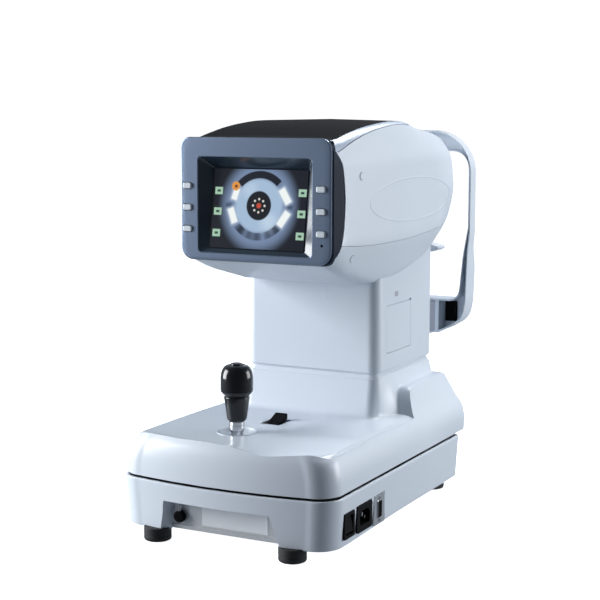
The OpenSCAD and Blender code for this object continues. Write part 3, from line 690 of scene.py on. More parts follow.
def make_door():
    side = COLUMN_HIGH[0]
    low, high = DOOR_LOW, DOOR_HIGH
    middle = (low + high) / 2
    outline = round_rect(high[1] - low[1], high[2] - low[2], 2.2, 5) + middle[1:]
    rings = []
    for x, inset in [(side - DOOR_POCKET + 0.2, 0), (side - 0.5, 0), (side - 0.1, 0.15), (side + 0.1, 0.6)]:
        scaled = middle[1:] + (outline - middle[1:]) * (1 - 2 * inset / (high[1] - low[1]))
        rings.append(np.column_stack([np.full(len(scaled), x), scaled]))
    door = loft("printer_door_skin", rings, caps=True)
    finish_piece(door, "printer_door", "shell_white", "printer_door")
    mark_y, mark_z = (low[1] + high[1]) / 2 - 8, high[2] + 12
    outline = round_rect(9, 6, 1.4, 4) + (mark_y, mark_z)
    mark = prism("door_latch_pad", outline, side - 0.5, side + 0.35, "X")
    soften(mark, 0.2, 2)
    finish_piece(mark, "head", "insert_grey")


# ---------------------------------------------------------------- head: one skin, cut into its shells

FACE_Y = -161.4
REAR_Y = 195.0
FRONT_ROW_Y = -146.0
CAP_HALF = 84.0
TRIM_HALF = 93.0
CAP_REAR = 58.0
TRIM_REAR = 64.5
CAP_CORNER = 22.0
OPTIC_Z = 360.0
WIDEST_Z = 366.0
RING_HOLE = 33.4
TOP_STEPS = 14
TRIM_STEPS = 3
SIDE_UPPER = 22
SIDE_LOWER = 20
GAP = 0.25
TRIM_GAP = 0.6
HEAD_WALL = 2.2

head_top = curve([-161.4, -138, -118, -78, -41, 0, 26, 44, 58, 64.5, 74, 92, 119, 150, 170, 183, 190, 195],
                 [432.4, 433.5, 437, 443.5, 447.5, 450.2, 450.6, 449, 446, 444, 442.6, 440.6, 437.6, 433, 426.5,
                  419, 411, 400])
head_floor = curve([-161.4, -153, -118, -78, -41, 0, 44, 110, 150, 175, 188, 195],
                   [299.7, 298, 285, 274, 265.5, 264.5, 269, 285, 299, 312, 322, 330])
head_half = curve([-161.4, -150, -141, -100, -40, 20, 125, 145, 162, 176, 186, 192, 195],
                  [92.3, 96, 98, 101, 104, 105.3, 105.3, 104.8, 103, 97.5, 87, 77, 64])
ridge_z = curve([-161.4, -154, -146, -120, 0, 100, 160, 180, 195],
                [424, 414, 407, 405, 407.5, 410.5, 409, 404, 392])
ridge_x = curve([-161.4, -150, -130, 150, 195], [0, 0.5, 1.2, 1.2, 0])
shoulder_x = curve([-161.4, -130, 0, 60, 130, 170, 195], [7, 9, 11, 13, 16, 16, 10])
crease_z = curve([-161.4, -140, -60, 10, 80, 130, 195], [322, 319.5, 315.5, 316, 319.5, 323, 342])
corner_x = curve([-161.4, -146, -110, -40, 80, 150, 195], [0, 4, 13, 19, 19, 18, 6])
corner_z = curve([-161.4, -146, -110, -40, 195], [0, 0, 0.5, 1.5, 0])


def section(y):
    """Right half of the head's cross-section, from the middle of the top to the middle of the bottom."""
    half = float(head_half(y))
    top = float(head_top(y))
    floor = float(head_floor(y))
    barrel = float(smooth_step((y - 100) / 55))
    points = [(0, top + 0.8), (half - float(shoulder_x(y)) - 4 * barrel, top - 1.2),
              (half - float(ridge_x(y)) - 5 * barrel, float(ridge_z(y))),
              (half - 0.6 * (1 - barrel), WIDEST_Z), (half - 8.5 * barrel, float(crease_z(y))),
              (half - float(corner_x(y)) - 5 * barrel, floor + float(corner_z(y))), (0, floor)]
    if y < -155:
        points[1] = (half - 0.01, top)
        points[5] = (half - 0.01, floor)
        radii = [12, 1, 90, 40, 14]
    else:
        radii = [13, 5 + 14 * barrel, 90, 40, 20]
    return fillet(points, radii, 16, 14)


def resample(outline, count):
    """count + 1 points at equal spacing along an open outline."""
    steps = np.concatenate([[0], np.cumsum(np.linalg.norm(np.diff(outline, axis=0), axis=1))])
    at = np.linspace(0, steps[-1], count + 1)
    return np.stack([np.interp(at, steps, outline[:, 0]), np.interp(at, steps, outline[:, 1])], axis=1)


def split_at(outline, column, value):
    """The parts of an outline before and after one coordinate first passes a value."""
    past = outline[:, column] > value if outline[0, column] < value else outline[:, column] < value
    i = int(np.argmax(past))
    a, b = outline[i - 1], outline[i]
    t = (value - a[column]) / (b[column] - a[column])
    point = a + (b - a) * t
    return np.concatenate([outline[:i], point[None]]), np.concatenate([point[None], outline[i:]])


def round_end(y, end, radius):
    """How far a corner of this radius that ends at y = end has drawn in at y."""
    reach = np.clip((y - (end - radius)) / radius, 0, 1)
    return radius * (1 - math.sqrt(max(0.0, 1 - reach * reach)))


def half_columns(y):
    """The section's points in columns that follow the edges of the cap, the trim and the crease."""
    outline = section(y)
    cap_x = CAP_HALF - round_end(y, CAP_REAR, CAP_CORNER)
    trim_x = TRIM_HALF - round_end(y, TRIM_REAR, CAP_CORNER + TRIM_HALF - CAP_HALF)
    widest = outline[:, 0].max()
    trim_x = min(trim_x, widest - 3.5)
    cap_x = min(cap_x, trim_x - 3)
    first, rest = split_at(outline, 0, cap_x)
    second, rest = split_at(rest, 0, trim_x)
    third, fourth = split_at(rest, 1, float(crease_z(y)))
    return np.concatenate([resample(first, TOP_STEPS)[:-1], resample(second, TRIM_STEPS)[:-1],
                           resample(third, SIDE_UPPER)[:-1], resample(fourth, SIDE_LOWER)])


CAP_COLUMN = TOP_STEPS
TRIM_COLUMN = CAP_COLUMN + TRIM_STEPS
CREASE_COLUMN = TRIM_COLUMN + SIDE_UPPER
LAST_COLUMN = CREASE_COLUMN + SIDE_LOWER

front_edge = curve([290, 298, 320, 345, 368, 395, 423, 436], [-155, -154, -145.5, -140, -138, -141, -150, -154])


def head_rows():
    """Places along the head, dense at its front edge, at the rear corner of the cap and at its rear."""
    rows = list(np.linspace(FRONT_ROW_Y, -100, 12)[:-1]) + list(np.linspace(-100, 34, 30)[:-1])
    rows += list(np.linspace(34, CAP_REAR, 15)[:-1]) + list(np.linspace(CAP_REAR, TRIM_REAR, 5)[:-1])
    rows += list(np.linspace(TRIM_REAR, 140, 16)[:-1])
    t = np.linspace(0, 1, 20)
    rows += list(140 + (REAR_Y - 140) * np.sin(t * math.pi / 2))
    return np.array(rows)


def head_grid():
    """Points of the whole skin: rows along Y, columns down the right half."""
    stations = np.concatenate([np.linspace(FACE_Y + 2, -140, 12)[:-1], head_rows()[3:]])
    stations = np.unique(np.round(stations, 3))
    table = np.array([half_columns(float(y)) for y in stations])
    rows = head_rows()
    grid = np.zeros((len(rows), LAST_COLUMN + 1, 3))
    for j in range(LAST_COLUMN + 1):
        if j <= TRIM_COLUMN:
            edge = FACE_Y + 2.2
        else:
            edge = float(front_edge(np.interp(FRONT_ROW_Y, stations, table[:, j, 1])))
        y = np.where(rows < -100, -100 + (rows + 100) * (-100 - edge) / (-100 - FRONT_ROW_Y), rows)
        grid[:, j, 1] = y
        grid[:, j, 0] = np.interp(y, stations, table[:, j, 0])
        grid[:, j, 2] = np.interp(y, stations, table[:, j, 1])
    return rows, grid


def patch(name, grid, keep):
    """A skin from the grid's cells for which keep(row, column) holds, on both sides of the middle."""
    rows, columns = grid.shape[:2]
    points = np.concatenate([grid.reshape(-1, 3), (grid * [-1, 1, 1]).reshape(-1, 3)])
    faces = []
    for mirrored in (0, 1):
        base = mirrored * rows * columns
        for i in range(rows - 1):
            for j in range(columns - 1):
                if keep(i, j):
                    a = base + i * columns + j
                    quad = (a, a + 1, a + columns + 1, a + columns)
                    faces.append(quad[::-1] if mirrored else quad)
    obj = mesh_object(name, points, faces, outward=False)
    with editing(obj) as bm:
        bmesh.ops.remove_doubles(bm, verts=bm.verts, dist=0.00002)
        loose = [v for v in bm.verts if not v.link_faces]
        bmesh.ops.delete(bm, geom=loose, context="VERTS")
    return obj


def shrink_border(obj, gap):
    """Draws the open edges of a skin back a little, which leaves a fine joint line."""
    with editing(obj) as bm:
        moves = {}
        for edge in bm.edges:
            if len(edge.link_faces) == 1:
                face = edge.link_faces[0]
                along = (edge.verts[1].co - edge.verts[0].co).normalized()
                inward = face.calc_center_median() - (edge.verts[0].co + edge.verts[1].co) / 2
                inward = (inward - along * inward.dot(along)).normalized()
                for vert in edge.verts:
                    moves.setdefault(vert, []).append(inward)
        for vert, steps in moves.items():
            total = sum(steps, Vector())
            vert.co += total.normalized() * gap * MM if total.length > 1e-6 else Vector()


def side_x(y, z):
    """Half width of the head's side surface at a place."""
    steps = half_columns(y)[TRIM_COLUMN:]
    order = np.argsort(steps[:, 1])
    return float(np.interp(z, steps[order, 1], steps[order, 0]))


def both_sides(name, make, slot, look=None):
    """The same small piece on the head's right side and mirrored on its left."""
    for side in ("right", "left"):
        piece = make(f"{name}_{side}")
        if side == "left":
            piece.data.transform(Matrix.Scale(-1, 4, (1, 0, 0)))
            piece.data.flip_normals()
        finish_piece(piece, "head", slot, look=look)


def make_head():
    rows, grid = head_grid()
    cap_row = int(np.argmin(abs(rows - CAP_REAR)))
    trim_row = int(np.argmin(abs(rows - TRIM_REAR)))
    rear = grid[-1]
    angle = np.arctan2(rear[:, 2] - OPTIC_Z, rear[:, 0])
    circle = np.stack([RING_HOLE * np.cos(angle), np.full(len(rear), REAR_Y),
                       OPTIC_Z + RING_HOLE * np.sin(angle)], axis=1)
    circle[0, 0] = circle[-1, 0] = 0
    steps = [rear + (circle - rear) * t for t in (0.04, 0.12, 0.4, 0.7, 1)]
    grid = np.concatenate([grid, np.array(steps)])
    grid[-6:, :, 1] = REAR_Y - np.array([1.8, 0.8, 0.2, 0, 0, 0])[:, None]

    def in_cap(i, j):
        return i < cap_row and j < CAP_COLUMN

    def in_trim(i, j):
        return i < trim_row and j < TRIM_COLUMN and not in_cap(i, j)

    def in_upper(i, j):
        return j < CREASE_COLUMN and not in_cap(i, j) and not in_trim(i, j)

    def in_lower(i, j):
        return j >= CREASE_COLUMN

    pieces = [("top_cover_skin", in_cap, "satin_black", "top_cover"),
              ("top_trim_band", in_trim, "trim_silver", "top_trim"),
              ("head_upper_shell", in_upper, "shell_white", "head_housing"),
              ("head_lower_shell", in_lower, "shell_white", "head_lower_cover")]
    for name, keep, slot, node in pieces:
        obj = patch(name, grid, keep)
        shrink_border(obj, TRIM_GAP if keep is in_trim else GAP)
        if keep is in_lower:
            open_for_column(obj)
        thicken(obj, HEAD_WALL)
        soften(obj, 0.35, 2, 60)
        finish_piece(obj, "head", slot, node, angle=38)


def open_for_column(obj):
    """The column passes up through the bottom of the head."""
    low, high = COLUMN_LOW * MM, COLUMN_HIGH * MM
    ceiling = 310 * MM
    with editing(obj) as bm:
        inside = [f for f in bm.faces if all(low[0] < v.co.x < high[0] and low[1] < v.co.y < high[1]
                                             for v in f.verts) and f.calc_center_median().z < ceiling]
        bmesh.ops.delete(bm, geom=inside, context="FACES")


# ---------------------------------------------------------------- bezel, keys and screen

BEZEL_REAR = -146.0
OPENING = (70.2, 307.1, 412.6, 5.0)
SCREEN_SIZE = (117.0, 88.0)
SCREEN_PLACE = (0.0, -150.5, 356.0)
SCREEN_TILT = 8.5
BEZEL_HALF = 92.3
BEZEL_BOTTOM = 299.7
BEZEL_TOP = 433.4
BEZEL_WALL = 2.0
OPERATOR = (0, -400, 356)


def bezel_outline(half, low, high, low_r, high_r):
    """Closed outline with two pairs of corner radii and fixed point counts, in X and Z."""
    n = 9
    corners = [arc(half - high_r, high - high_r, high_r, 0, 90, n),
               arc(-half + high_r, high - high_r, high_r, 90, 180, n),
               arc(-half + low_r, low + low_r, low_r, 180, 270, n),
               arc(half - low_r, low + low_r, low_r, 270, 360, n)]
    out = []
    for i, corner in enumerate(corners):
        out.append(corner)
        t = np.linspace(0, 1, 14)[1:-1, None]
        out.append(corner[-1] + (corners[(i + 1) % 4][0] - corner[-1]) * t)
    return np.concatenate(out)


def facing(outline, y):
    """An outline in X and Z as points at a depth, or at a depth for each."""
    y = np.broadcast_to(np.asarray(y, float), len(outline))
    return np.column_stack([outline[:, 0], y, outline[:, 1]])


def screen_point(x, z, forward=0.0):
    """A place on the tilted screen, x to the right and z up along it, in millimetres."""
    tilt = math.radians(SCREEN_TILT)
    cx, cy, cz = SCREEN_PLACE
    return np.stack([cx + x, cy + z * math.sin(tilt) - forward * math.cos(tilt),
                     cz + z * math.cos(tilt) + forward * math.sin(tilt)], axis=-1)


def make_bezel():
    under_cap = 3.0
    rear = bezel_outline(BEZEL_HALF + 2.2, BEZEL_BOTTOM - 1.5, BEZEL_TOP - under_cap, 15, 12)
    mid = bezel_outline(BEZEL_HALF + 1.2, BEZEL_BOTTOM - 0.8, BEZEL_TOP - under_cap, 15, 12)
    side = smooth_step((np.abs(rear[:, 0]) - 70) / 16) * smooth_step((rear[:, 1] - BEZEL_BOTTOM) / 13)
    edge_y = front_edge(rear[:, 1]) - 1.2
    edge_x = np.array([side_x(float(y), float(z)) for y, z in zip(edge_y, rear[:, 1])]) - 0.5
    rear_y = BEZEL_REAR - 4 + (edge_y - BEZEL_REAR + 4) * side
    rear[:, 0] += (np.sign(rear[:, 0]) * edge_x - rear[:, 0]) * side
    front = bezel_outline(BEZEL_HALF - 0.3, BEZEL_BOTTOM, BEZEL_TOP - 0.4, 15, 12)
    lip = bezel_outline(BEZEL_HALF - 0.9, BEZEL_BOTTOM + 0.5, BEZEL_TOP - 0.9, 14.5, 11.5)
    face = bezel_outline(BEZEL_HALF - 2.4, BEZEL_BOTTOM + 1.8, BEZEL_TOP - 2.2, 13.5, 10.5)
    half, low, high, radius = OPENING
    mouth = bezel_outline(half, low, high, radius, radius)
    mouth_in = bezel_outline(half - 0.8, low + 0.8, high - 0.8, radius, radius)
    inner = bezel_outline(SCREEN_SIZE[0] / 2, -SCREEN_SIZE[1] / 2, SCREEN_SIZE[1] / 2, 1.5, 1.5)
    band = loft("bezel_side_band", [facing(rear, rear_y), facing(mid, FACE_Y + 4), facing(front, FACE_Y + 2.6)])
    aim_normals(band, (0, -161, 366))
    band.data.flip_normals()
    thicken(band, BEZEL_WALL)
    # The side band gets the darker copy of the bezel paint: painted shade on the side of the same moulding.
    finish_piece(band, "head", "bezel_blue", look=BEZEL_SIDE_SHADE)
    rings = [facing(front, FACE_Y + 2.6), facing(front, FACE_Y + 1.4), facing(lip, FACE_Y + 0.5),
             facing(face, FACE_Y)]
    for t in (0.35, 0.7, 1.0):
        rings.append(facing(face + (mouth - face) * t, FACE_Y))
    rings.append(facing(mouth_in, FACE_Y + 0.8))
    floor = screen_point(inner[:, 0], inner[:, 1], -0.6)
    edge = rings[-1]
    shell = loft("bezel_shell", rings)
    recess = loft("screen_recess", [edge + (floor - edge) * t for t in np.linspace(0, 1, 7)], outward=False)
    aim_normals(recess, OPERATOR)
    thicken(recess, 1.4)
    aim_normals(shell, OPERATOR)
    thicken(shell, BEZEL_WALL)
    pockets = []
    for place in KEY_PLACES:
        outline = round_rect(KEY_SIZE[0] + 1.2, KEY_SIZE[1] + 1.2, 2.2, 5) + place
        pockets.append(prism("cutter", outline, FACE_Y - 4, FACE_Y + 8))
    pockets.append(lathe("cutter", [(0, -6), (1.5, -6), (1.5, 6), (0, 6)],
                         (MIC_PLACE[0], FACE_Y, MIC_PLACE[1]), "Y", 24))
    cut(shell, *pockets)
    soften(shell, 0.35, 2, 50)
    finish_piece(shell, "head", "bezel_blue", "bezel")
    # The recess walls get the near-black copy of the bezel paint: painted shade in the recess.
    finish_piece(recess, "head", "bezel_blue", look=BEZEL_RECESS_SHADE)
    make_gap_shade_band()


def aim_normals(obj, eye):
    """Turns the faces of an open skin towards a point."""
    eye = Vector(eye) * MM
    with editing(obj) as bm:
        bmesh.ops.recalc_face_normals(bm, faces=bm.faces)
        total = sum(f.normal.dot((eye - f.calc_center_median()).normalized()) * f.calc_area() for f in bm.faces)
        if total < 0:
            bmesh.ops.reverse_faces(bm, faces=bm.faces)


def make_gap_shade_band():
    """A black skin inside the head behind the joint between the bezel and the white shells: painted shade that
    makes the joint read dark.
    """
    middle = np.array([0, 366])
    inward = 1 - 3.4 / 96
    rings = []
    for y in np.linspace(BEZEL_REAR - 6, -128, 8):
        outline = middle + (half_columns(float(y)) - middle) * inward
        outline = np.concatenate([outline, outline[1:-1][::-1] * [-1, 1]])
        rings.append(facing(outline, y))
    band = loft("bezel_gap_shade", rings)
    thicken(band, 1.2)
    finish_piece(band, "head", "satin_black")


KEY_SIZE = (11.0, 6.5)
KEY_LEVELS = [(4, 0), (-1.0, 0), (-1.7, 0.25), (-2.1, 0.8), (-2.2, 1.6)]
KEY_PLACES = [(x, z) for x in (-82.4, 80.8) for z in (380.0, 356.5, 333.0)]
MIC_PLACE = (81.3, 321.0)


def make_keys():
    for number in range(1, len(KEY_PLACES) + 1):
        low, high = box(f"key_{number}")
        x, _, z = (low + high) / 2
        rings = []
        for behind, inset in KEY_LEVELS:
            outline = round_rect(KEY_SIZE[0] - 2 * inset, KEY_SIZE[1] - 2 * inset, 1.8 - inset * 0.6, 5)
            rings.append(facing(outline + (x, z), FACE_Y + behind))
        key = loft(f"key_cap_{number}", rings, caps=True)
        finish_piece(key, f"key_{number}", "key_grey", f"key_{number}", angle=50)


# ---------------------------------------------------------------- screen

ACTIVE = (115.0, 86.0)
EYE_X = 0.0
EYE_Z = 4.0
GROUND = (0.004, 0.005, 0.010)


class Picture:
    """Builds a flat picture from soft-edged shapes, in millimetres about the middle of the screen."""

    def __init__(self, nodes, links):
        self.nodes = nodes
        self.links = links
        place = nodes.new("ShaderNodeTexCoord")
        apart = nodes.new("ShaderNodeSeparateXYZ")
        links.new(place.outputs["UV"], apart.inputs[0])
        self.x = self.math("SUBTRACT", self.math("MULTIPLY", apart.outputs[0], ACTIVE[0]), ACTIVE[0] / 2)
        self.z = self.math("SUBTRACT", self.math("MULTIPLY", apart.outputs[1], ACTIVE[1]), ACTIVE[1] / 2)
        self.colour = None

    def math(self, operation, first, second=None):
        node = self.nodes.new("ShaderNodeMath")
        node.operation = operation
        for socket, value in zip(node.inputs, (first, second)):
            if value is None:
                continue
            if isinstance(value, (int, float)):
                socket.default_value = value
            else:
                self.links.new(value, socket)
        return node.outputs[0]

    def inside(self, distance, edge, soft):
        """1 where the distance is less than the edge, fading out over the soft width."""
        node = self.nodes.new("ShaderNodeMapRange")
        node.interpolation_type = "SMOOTHSTEP"
        set_socket(node, From_Min=edge - soft, From_Max=edge + soft, To_Min=1.0, To_Max=0.0)
        self.links.new(distance, node.inputs["Value"])
        return node.outputs["Result"]

    def radius(self, cx, cz, stretch=1.0):
        dx = self.math("SUBTRACT", self.x, cx)
        dz = self.math("MULTIPLY", self.math("SUBTRACT", self.z, cz), stretch)
        total = self.math("ADD", self.math("MULTIPLY", dx, dx), self.math("MULTIPLY", dz, dz))
        return self.math("SQRT", total)

    def disc(self, cx, cz, r, soft, stretch=1.0):
        return self.inside(self.radius(cx, cz, stretch), r, soft)

    def bar(self, cx, cz, width, height, lean, soft=0.5):
        """A rectangle whose height leans by an angle in degrees."""
        c, s = math.cos(math.radians(lean)), math.sin(math.radians(lean))
        dx = self.math("SUBTRACT", self.x, cx)
        dz = self.math("SUBTRACT", self.z, cz)
        across = self.math("ADD", self.math("MULTIPLY", dx, c), self.math("MULTIPLY", dz, s))
        along = self.math("SUBTRACT", self.math("MULTIPLY", dz, c), self.math("MULTIPLY", dx, s))
        one = self.inside(self.math("ABSOLUTE", across), width / 2, soft)
        other = self.inside(self.math("ABSOLUTE", along), height / 2, soft)
        return self.math("MULTIPLY", one, other)

    def band(self, low, high, middle, spread_angle):
        """Part of a ring round the eye, about a middle direction in degrees from the right."""
        soft = 0.7
        r = self.radius(EYE_X, EYE_Z)
        hole = self.math("SUBTRACT", 1.0, self.inside(r, low, soft))
        ring = self.math("MULTIPLY", self.inside(r, high, soft), hole)
        c, s = math.cos(math.radians(middle)), math.sin(math.radians(middle))
        dx = self.math("SUBTRACT", self.x, EYE_X)
        dz = self.math("SUBTRACT", self.z, EYE_Z)
        along = self.math("ADD", self.math("MULTIPLY", dx, c), self.math("MULTIPLY", dz, s))
        turn = self.math("SUBTRACT", 1.0, self.math("DIVIDE", along, r))
        limit = 1 - math.cos(math.radians(spread_angle))
        return self.math("MULTIPLY", ring, self.inside(turn, limit, 0.02))

    def paint(self, mask, colour, strength=1.0):
        mix = self.nodes.new("ShaderNodeMix")
        mix.data_type = "RGBA"
        if self.colour is None:
            mix.inputs["A"].default_value = (*GROUND, 1)
        else:
            self.links.new(self.colour, mix.inputs["A"])
        mix.inputs["B"].default_value = (*colour, 1)
        if strength != 1.0:
            mask = self.math("MULTIPLY", mask, strength)
        self.links.new(mask, mix.inputs["Factor"])
        self.colour = mix.outputs["Result"]


def screen_material():
    look, nodes, links, shader = node_material("screen_picture")
    pic = Picture(nodes, links)
    pic.paint(pic.disc(EYE_X, EYE_Z, 44, 8, 0.92), (0.20, 0.28, 0.44), 0.9)
    pic.paint(pic.disc(EYE_X, EYE_Z, 29, 3), (0.40, 0.54, 0.72))
    pic.paint(pic.disc(EYE_X + 13, EYE_Z - 17, 9, 7), (0.64, 0.78, 0.92), 0.6)
    pic.paint(pic.disc(EYE_X - 12, EYE_Z + 17, 8, 7), (0.58, 0.72, 0.88), 0.5)
    pic.paint(pic.band(29.5, 37.5, 92, 46), (0.004, 0.006, 0.012))
    for middle, wide in [(-128, 9), (-107, 5), (-90, 6), (-66, 5), (-48, 8)]:
        pic.paint(pic.band(29.5, 37.5, middle, wide), (0.006, 0.010, 0.022))
    for side in (-1, 1):
        pic.paint(pic.bar(side * 37, EYE_Z - 0.5, 8, 5, 0, 2.5), (0.03, 0.045, 0.09), 0.8)
    for cx, cz, wide, tall, lean in [(31.3, 15.0, 8, 18, 33), (31.0, -9.5, 8, 18, -33),
                                     (-31.5, -7.5, 7.6, 17, 22), (-29.5, 16.0, 7, 13, -16)]:
        pic.paint(pic.bar(cx, cz, wide + 3, tall + 3, lean, 2.5), (0.55, 0.66, 0.82), 0.7)
        pic.paint(pic.bar(cx, cz, wide, tall, lean, 1.0), (0.95, 1.0, 0.98))
    pic.paint(pic.disc(EYE_X, EYE_Z, 15.0, 0.8, 0.95), (0.002, 0.003, 0.006))
    for i in range(8):
        a = math.radians(45 * i)
        pic.paint(pic.disc(EYE_X + 7.1 * math.cos(a), EYE_Z + 7.1 * math.sin(a), 1.25, 0.5), (0.75, 0.74, 0.68))
    pic.paint(pic.disc(EYE_X, EYE_Z, 2.9, 0.6), (0.55, 0.07, 0.03))
    pic.paint(pic.disc(-29.7, 24.5, 5.0, 0.7), (0.80, 0.32, 0.05))
    pic.paint(pic.disc(-29.3, 24.3, 1.8, 0.5), (0.18, 0.05, 0.02))
    for x in (-50.5, 52.0):
        for z in (19.0, -3.5, -27.0):
            pic.paint(pic.bar(x, z, 9.5, 8, 0, 0.5), (0.40, 0.62, 0.46))
            pic.paint(pic.bar(x, z, 4.2, 2.6, 0, 0.6), (0.02, 0.06, 0.04))
    links.new(pic.colour, shader.inputs["Emission Color"])
    set_socket(shader, Base_Color=(0.004, 0.005, 0.008, 1), Emission_Strength=0.92, Roughness=0.22,
               Coat_Weight=0.5, Coat_Roughness=0.08)
    return look


def make_screen():
    xs = np.linspace(-ACTIVE[0] / 2, ACTIVE[0] / 2, 11)
    glass = [screen_point(xs, np.full(11, z), 0.25) for z in np.linspace(-ACTIVE[1] / 2, ACTIVE[1] / 2, 9)]
    panel = loft("lcd_picture", glass, closed=False, outward=False)
    aim_normals(panel, OPERATOR)
    layer = panel.data.uv_layers.new(name="screen")
    tilt = math.radians(SCREEN_TILT)
    for corner in panel.data.loops:
        place = panel.data.vertices[corner.vertex_index].co / MM
        along = (place.z - SCREEN_PLACE[2]) / math.cos(tilt)
        layer.data[corner.index].uv = (place.x / ACTIVE[0] + 0.5, along / ACTIVE[1] + 0.5)
    thicken(panel, 0.5)
    finish_piece(panel, "head", "screen_dark", "lcd_panel", look=screen_material())
    outer = round_rect(SCREEN_SIZE[0] + 6, SCREEN_SIZE[1] + 6, 2, 4)
    back = loft("lcd_module", [screen_point(outer[:, 0], outer[:, 1], d) for d in (-8, -1.0, -0.4)],
                caps=True)
    soften(back, 0.4, 2)
    finish_piece(back, "head", "screen_dark")


# ---------------------------------------------------------------- joystick, lever and lock


PIN_Z = 92.0


def make_joystick():
    x, y = STICK[:2]
    foot, top = GRIP_LOW[2], GRIP_HIGH[2]
    sides = [(0, 3), (7.6, 3), (7.6, 0), (8.6, 0), (9.9, 0.5), (10.9, 2.2), (11.2, 4), (14.3, 26), (14.0, 26.8),
             (13.5, 27.2), (13.5, 28.2), (14.3, 28.8), (15.2, 29.4), (17.5, 32.4), (18.0, 33.6)]
    profile = [(r, foot + z) for r, z in sides]
    dome_foot = foot + 46.5
    for angle in np.radians(np.linspace(0, 90, 15)):
        profile.append((7.6 + 10.4 * math.cos(angle) ** 0.75, dome_foot + (top - dome_foot) * math.sin(angle)))
    profile += [(7.6, top - 3), (0, top - 3)]
    grip = lathe("grip_body", profile, (x, y, 0), "Z", 96)
    finish_piece(grip, "joystick_grip", "gloss_black", "joystick_grip", angle=38)
    profile = [(0, -6), (6.8, -6), (6.8, 0.9), (6.3, 1.6), (5.2, 1.95), (3.5, 1.6), (0, 1.3)]
    button = lathe("trigger_cap", profile, (x, y, top), "Z", 64)
    finish_piece(button, "trigger_button", "gloss_black", "trigger_button", angle=38)
    profile = [(0, 75), (4, 75), (4, 84), (7, 86), (7, 101), (7.6, 101), (7.6, 103), (7, 103), (7, 112),
               (7.9, 112.4), (8.3, 113), (8.3, 118.4), (7.9, 118.7), (7.9, 119.2), (8.3, 119.5),
               (8.3, foot - 0.9), (7, foot - 0.5), (7, SHAFT_HIGH[2] - 1), (6, SHAFT_HIGH[2]),
               (0, SHAFT_HIGH[2])]
    shaft = lathe("shaft_rod", profile, (x, y, 0), "Z", 72)
    ball = lathe("pin_ball", [(0, 69), (3.2, 69.8), (5.2, 72), (6, 75), (5.2, 78), (4, 80), (0, 80)],
                 (x, y, 0), "Z", 40)
    pin = lathe("pin", [(0, -15), (2.2, -15), (2.5, -14.6), (2.5, 14.6), (2.2, 15), (0, 15)],
                (x, y, PIN_Z), "Y", 32)
    unite(shaft, ball, pin)
    finish_piece(shaft, "joystick_stick", "chrome", "joystick_shaft")
    collar = lathe("shaft_boot", [(7.15, 97), (8.6, 97), (9.0, 98.5), (8.5, 101), (7.9, 102.2), (7.15, 102.2)],
                   (x, y, 0), "Z", 56)
    finish_piece(collar, "joystick_stick", "rubber_black")
    bowl = lathe("well_bowl", [(12.8, 105.4), (13.2, 106.0), (15.5, 106.6), (18.6, 108.0), (20.6, 109.8),
                               (21.3, 111.2), (21.7, 111.8), (22.3, 111.8), (22.5, 111.2), (22.5, 105.4)],
                 (x, y, 0), "Z", 96)
    finish_piece(bowl, "carriage", "trim_silver", "joystick_well", look=SHELL_WHITE)


def make_lever():
    low, high = LEVER_LOW[0], LEVER_HIGH[0]
    middle, half = -8.5, 7.2
    side = [(-109, 108.5), (-108.2, 109.5), (-95, 114.2), (-84, 118.6), (-82, 118.9), (-80.9, 118.2),
            (-80.6, 116.5), (-81, 112.5), (-90, 109.2), (-98, 106.5), (-101, 103.8), (-105.5, 103.8)]
    body = prism("lever_wedge", side, middle - half, middle + half, "X")
    pin = lathe("lever_pin", [(0, low + 0.4), (1.2, low + 0.4), (1.2, high - 0.4), (0, high - 0.4)],
                (0, -103, 105), "X", 24)
    soften(body, 0.7, 3)
    finish_piece(body, "lock_lever", "satin_black", "lock_lever")
    finish_piece(pin, "lock_lever", "ground_steel")


def make_lock():
    low, high = box("transport_lock")
    x = (low[0] + high[0]) / 2
    z = low[2] + 6.5
    profile = [(0, -6.9), (4.6, -6.9), (5.6, -6.6), (6.2, -5.9), (6.5, -5), (6.5, -1.2), (0, -1.2)]
    disc = lathe("lock_disc", profile, (x, RECESS_BACK, z), "Y", 56)
    stem = lathe("lock_stem", [(0, -2), (3, -2), (3, 5.2), (4.8, 5.2), (4.8, 8.8), (0, 8.8)],
                 (x, RECESS_BACK, z), "Y", 32)
    unite(disc, stem)
    finish_piece(disc, "transport_lock", "satin_black", "transport_lock")
    rod = lathe("lock_rod", [(0, 4), (1.8, 4), (1.8, 14.2), (1.4, 14.8), (0, 15)],
                (x, RECESS_BACK - 4, z), "Z", 28)
    finish_piece(rod, "transport_lock", "chrome")


# ---------------------------------------------------------------- base details


def make_front_plate():
    face = box("front_plate")[0][1]
    plate = prism("front_plate_sheet", [(-77.5, 19.6), (75.5, 19.6), (75.5, 50), (-77.5, 50)], face, face + 1.5)
    finish_piece(plate, "base", "brushed_plate", "front_plate")
    label = prism("rating_plate", round_rect(80, 24, 1.2, 3) + (12, 33.6), face - 0.45, face)
    soften(label, 0.15, 1)
    finish_piece(label, "base", "brushed_plate", look=LABEL)
    strip = prism("upper_label", round_rect(22, 20, 0.8, 3) + (64, 35), face - 0.7, face - 0.3)
    finish_piece(strip, "base", "brushed_plate")


def make_feet():
    profile = [(7.2, 0.4), (7.6, 0), (13.2, 0), (14.3, 0.6), (15, 1.8), (15, 5.4), (14.6, 5.8), (14.6, 6.6),
               (15, 7), (15, 14.4), (14.4, 15), (3.2, 15), (3.2, 6), (7.2, 6), (7.2, 0.4)]
    for number, (x, y) in enumerate([(-82.5, -229), (82.5, -229), (-100, 109), (100, 109)], 1):
        foot = lathe(f"foot_{number}", profile, (x, y, 0), "Z", 56)
        finish_piece(foot, "base", "rubber_black", "feet")


def side_prism(name, outline, place, low, high):
    """A prism across the base's right side: its depths are measured from the side, outwards positive."""
    return prism(name, np.asarray(outline, float) + place, SIDE_X + low, SIDE_X + high, "X")


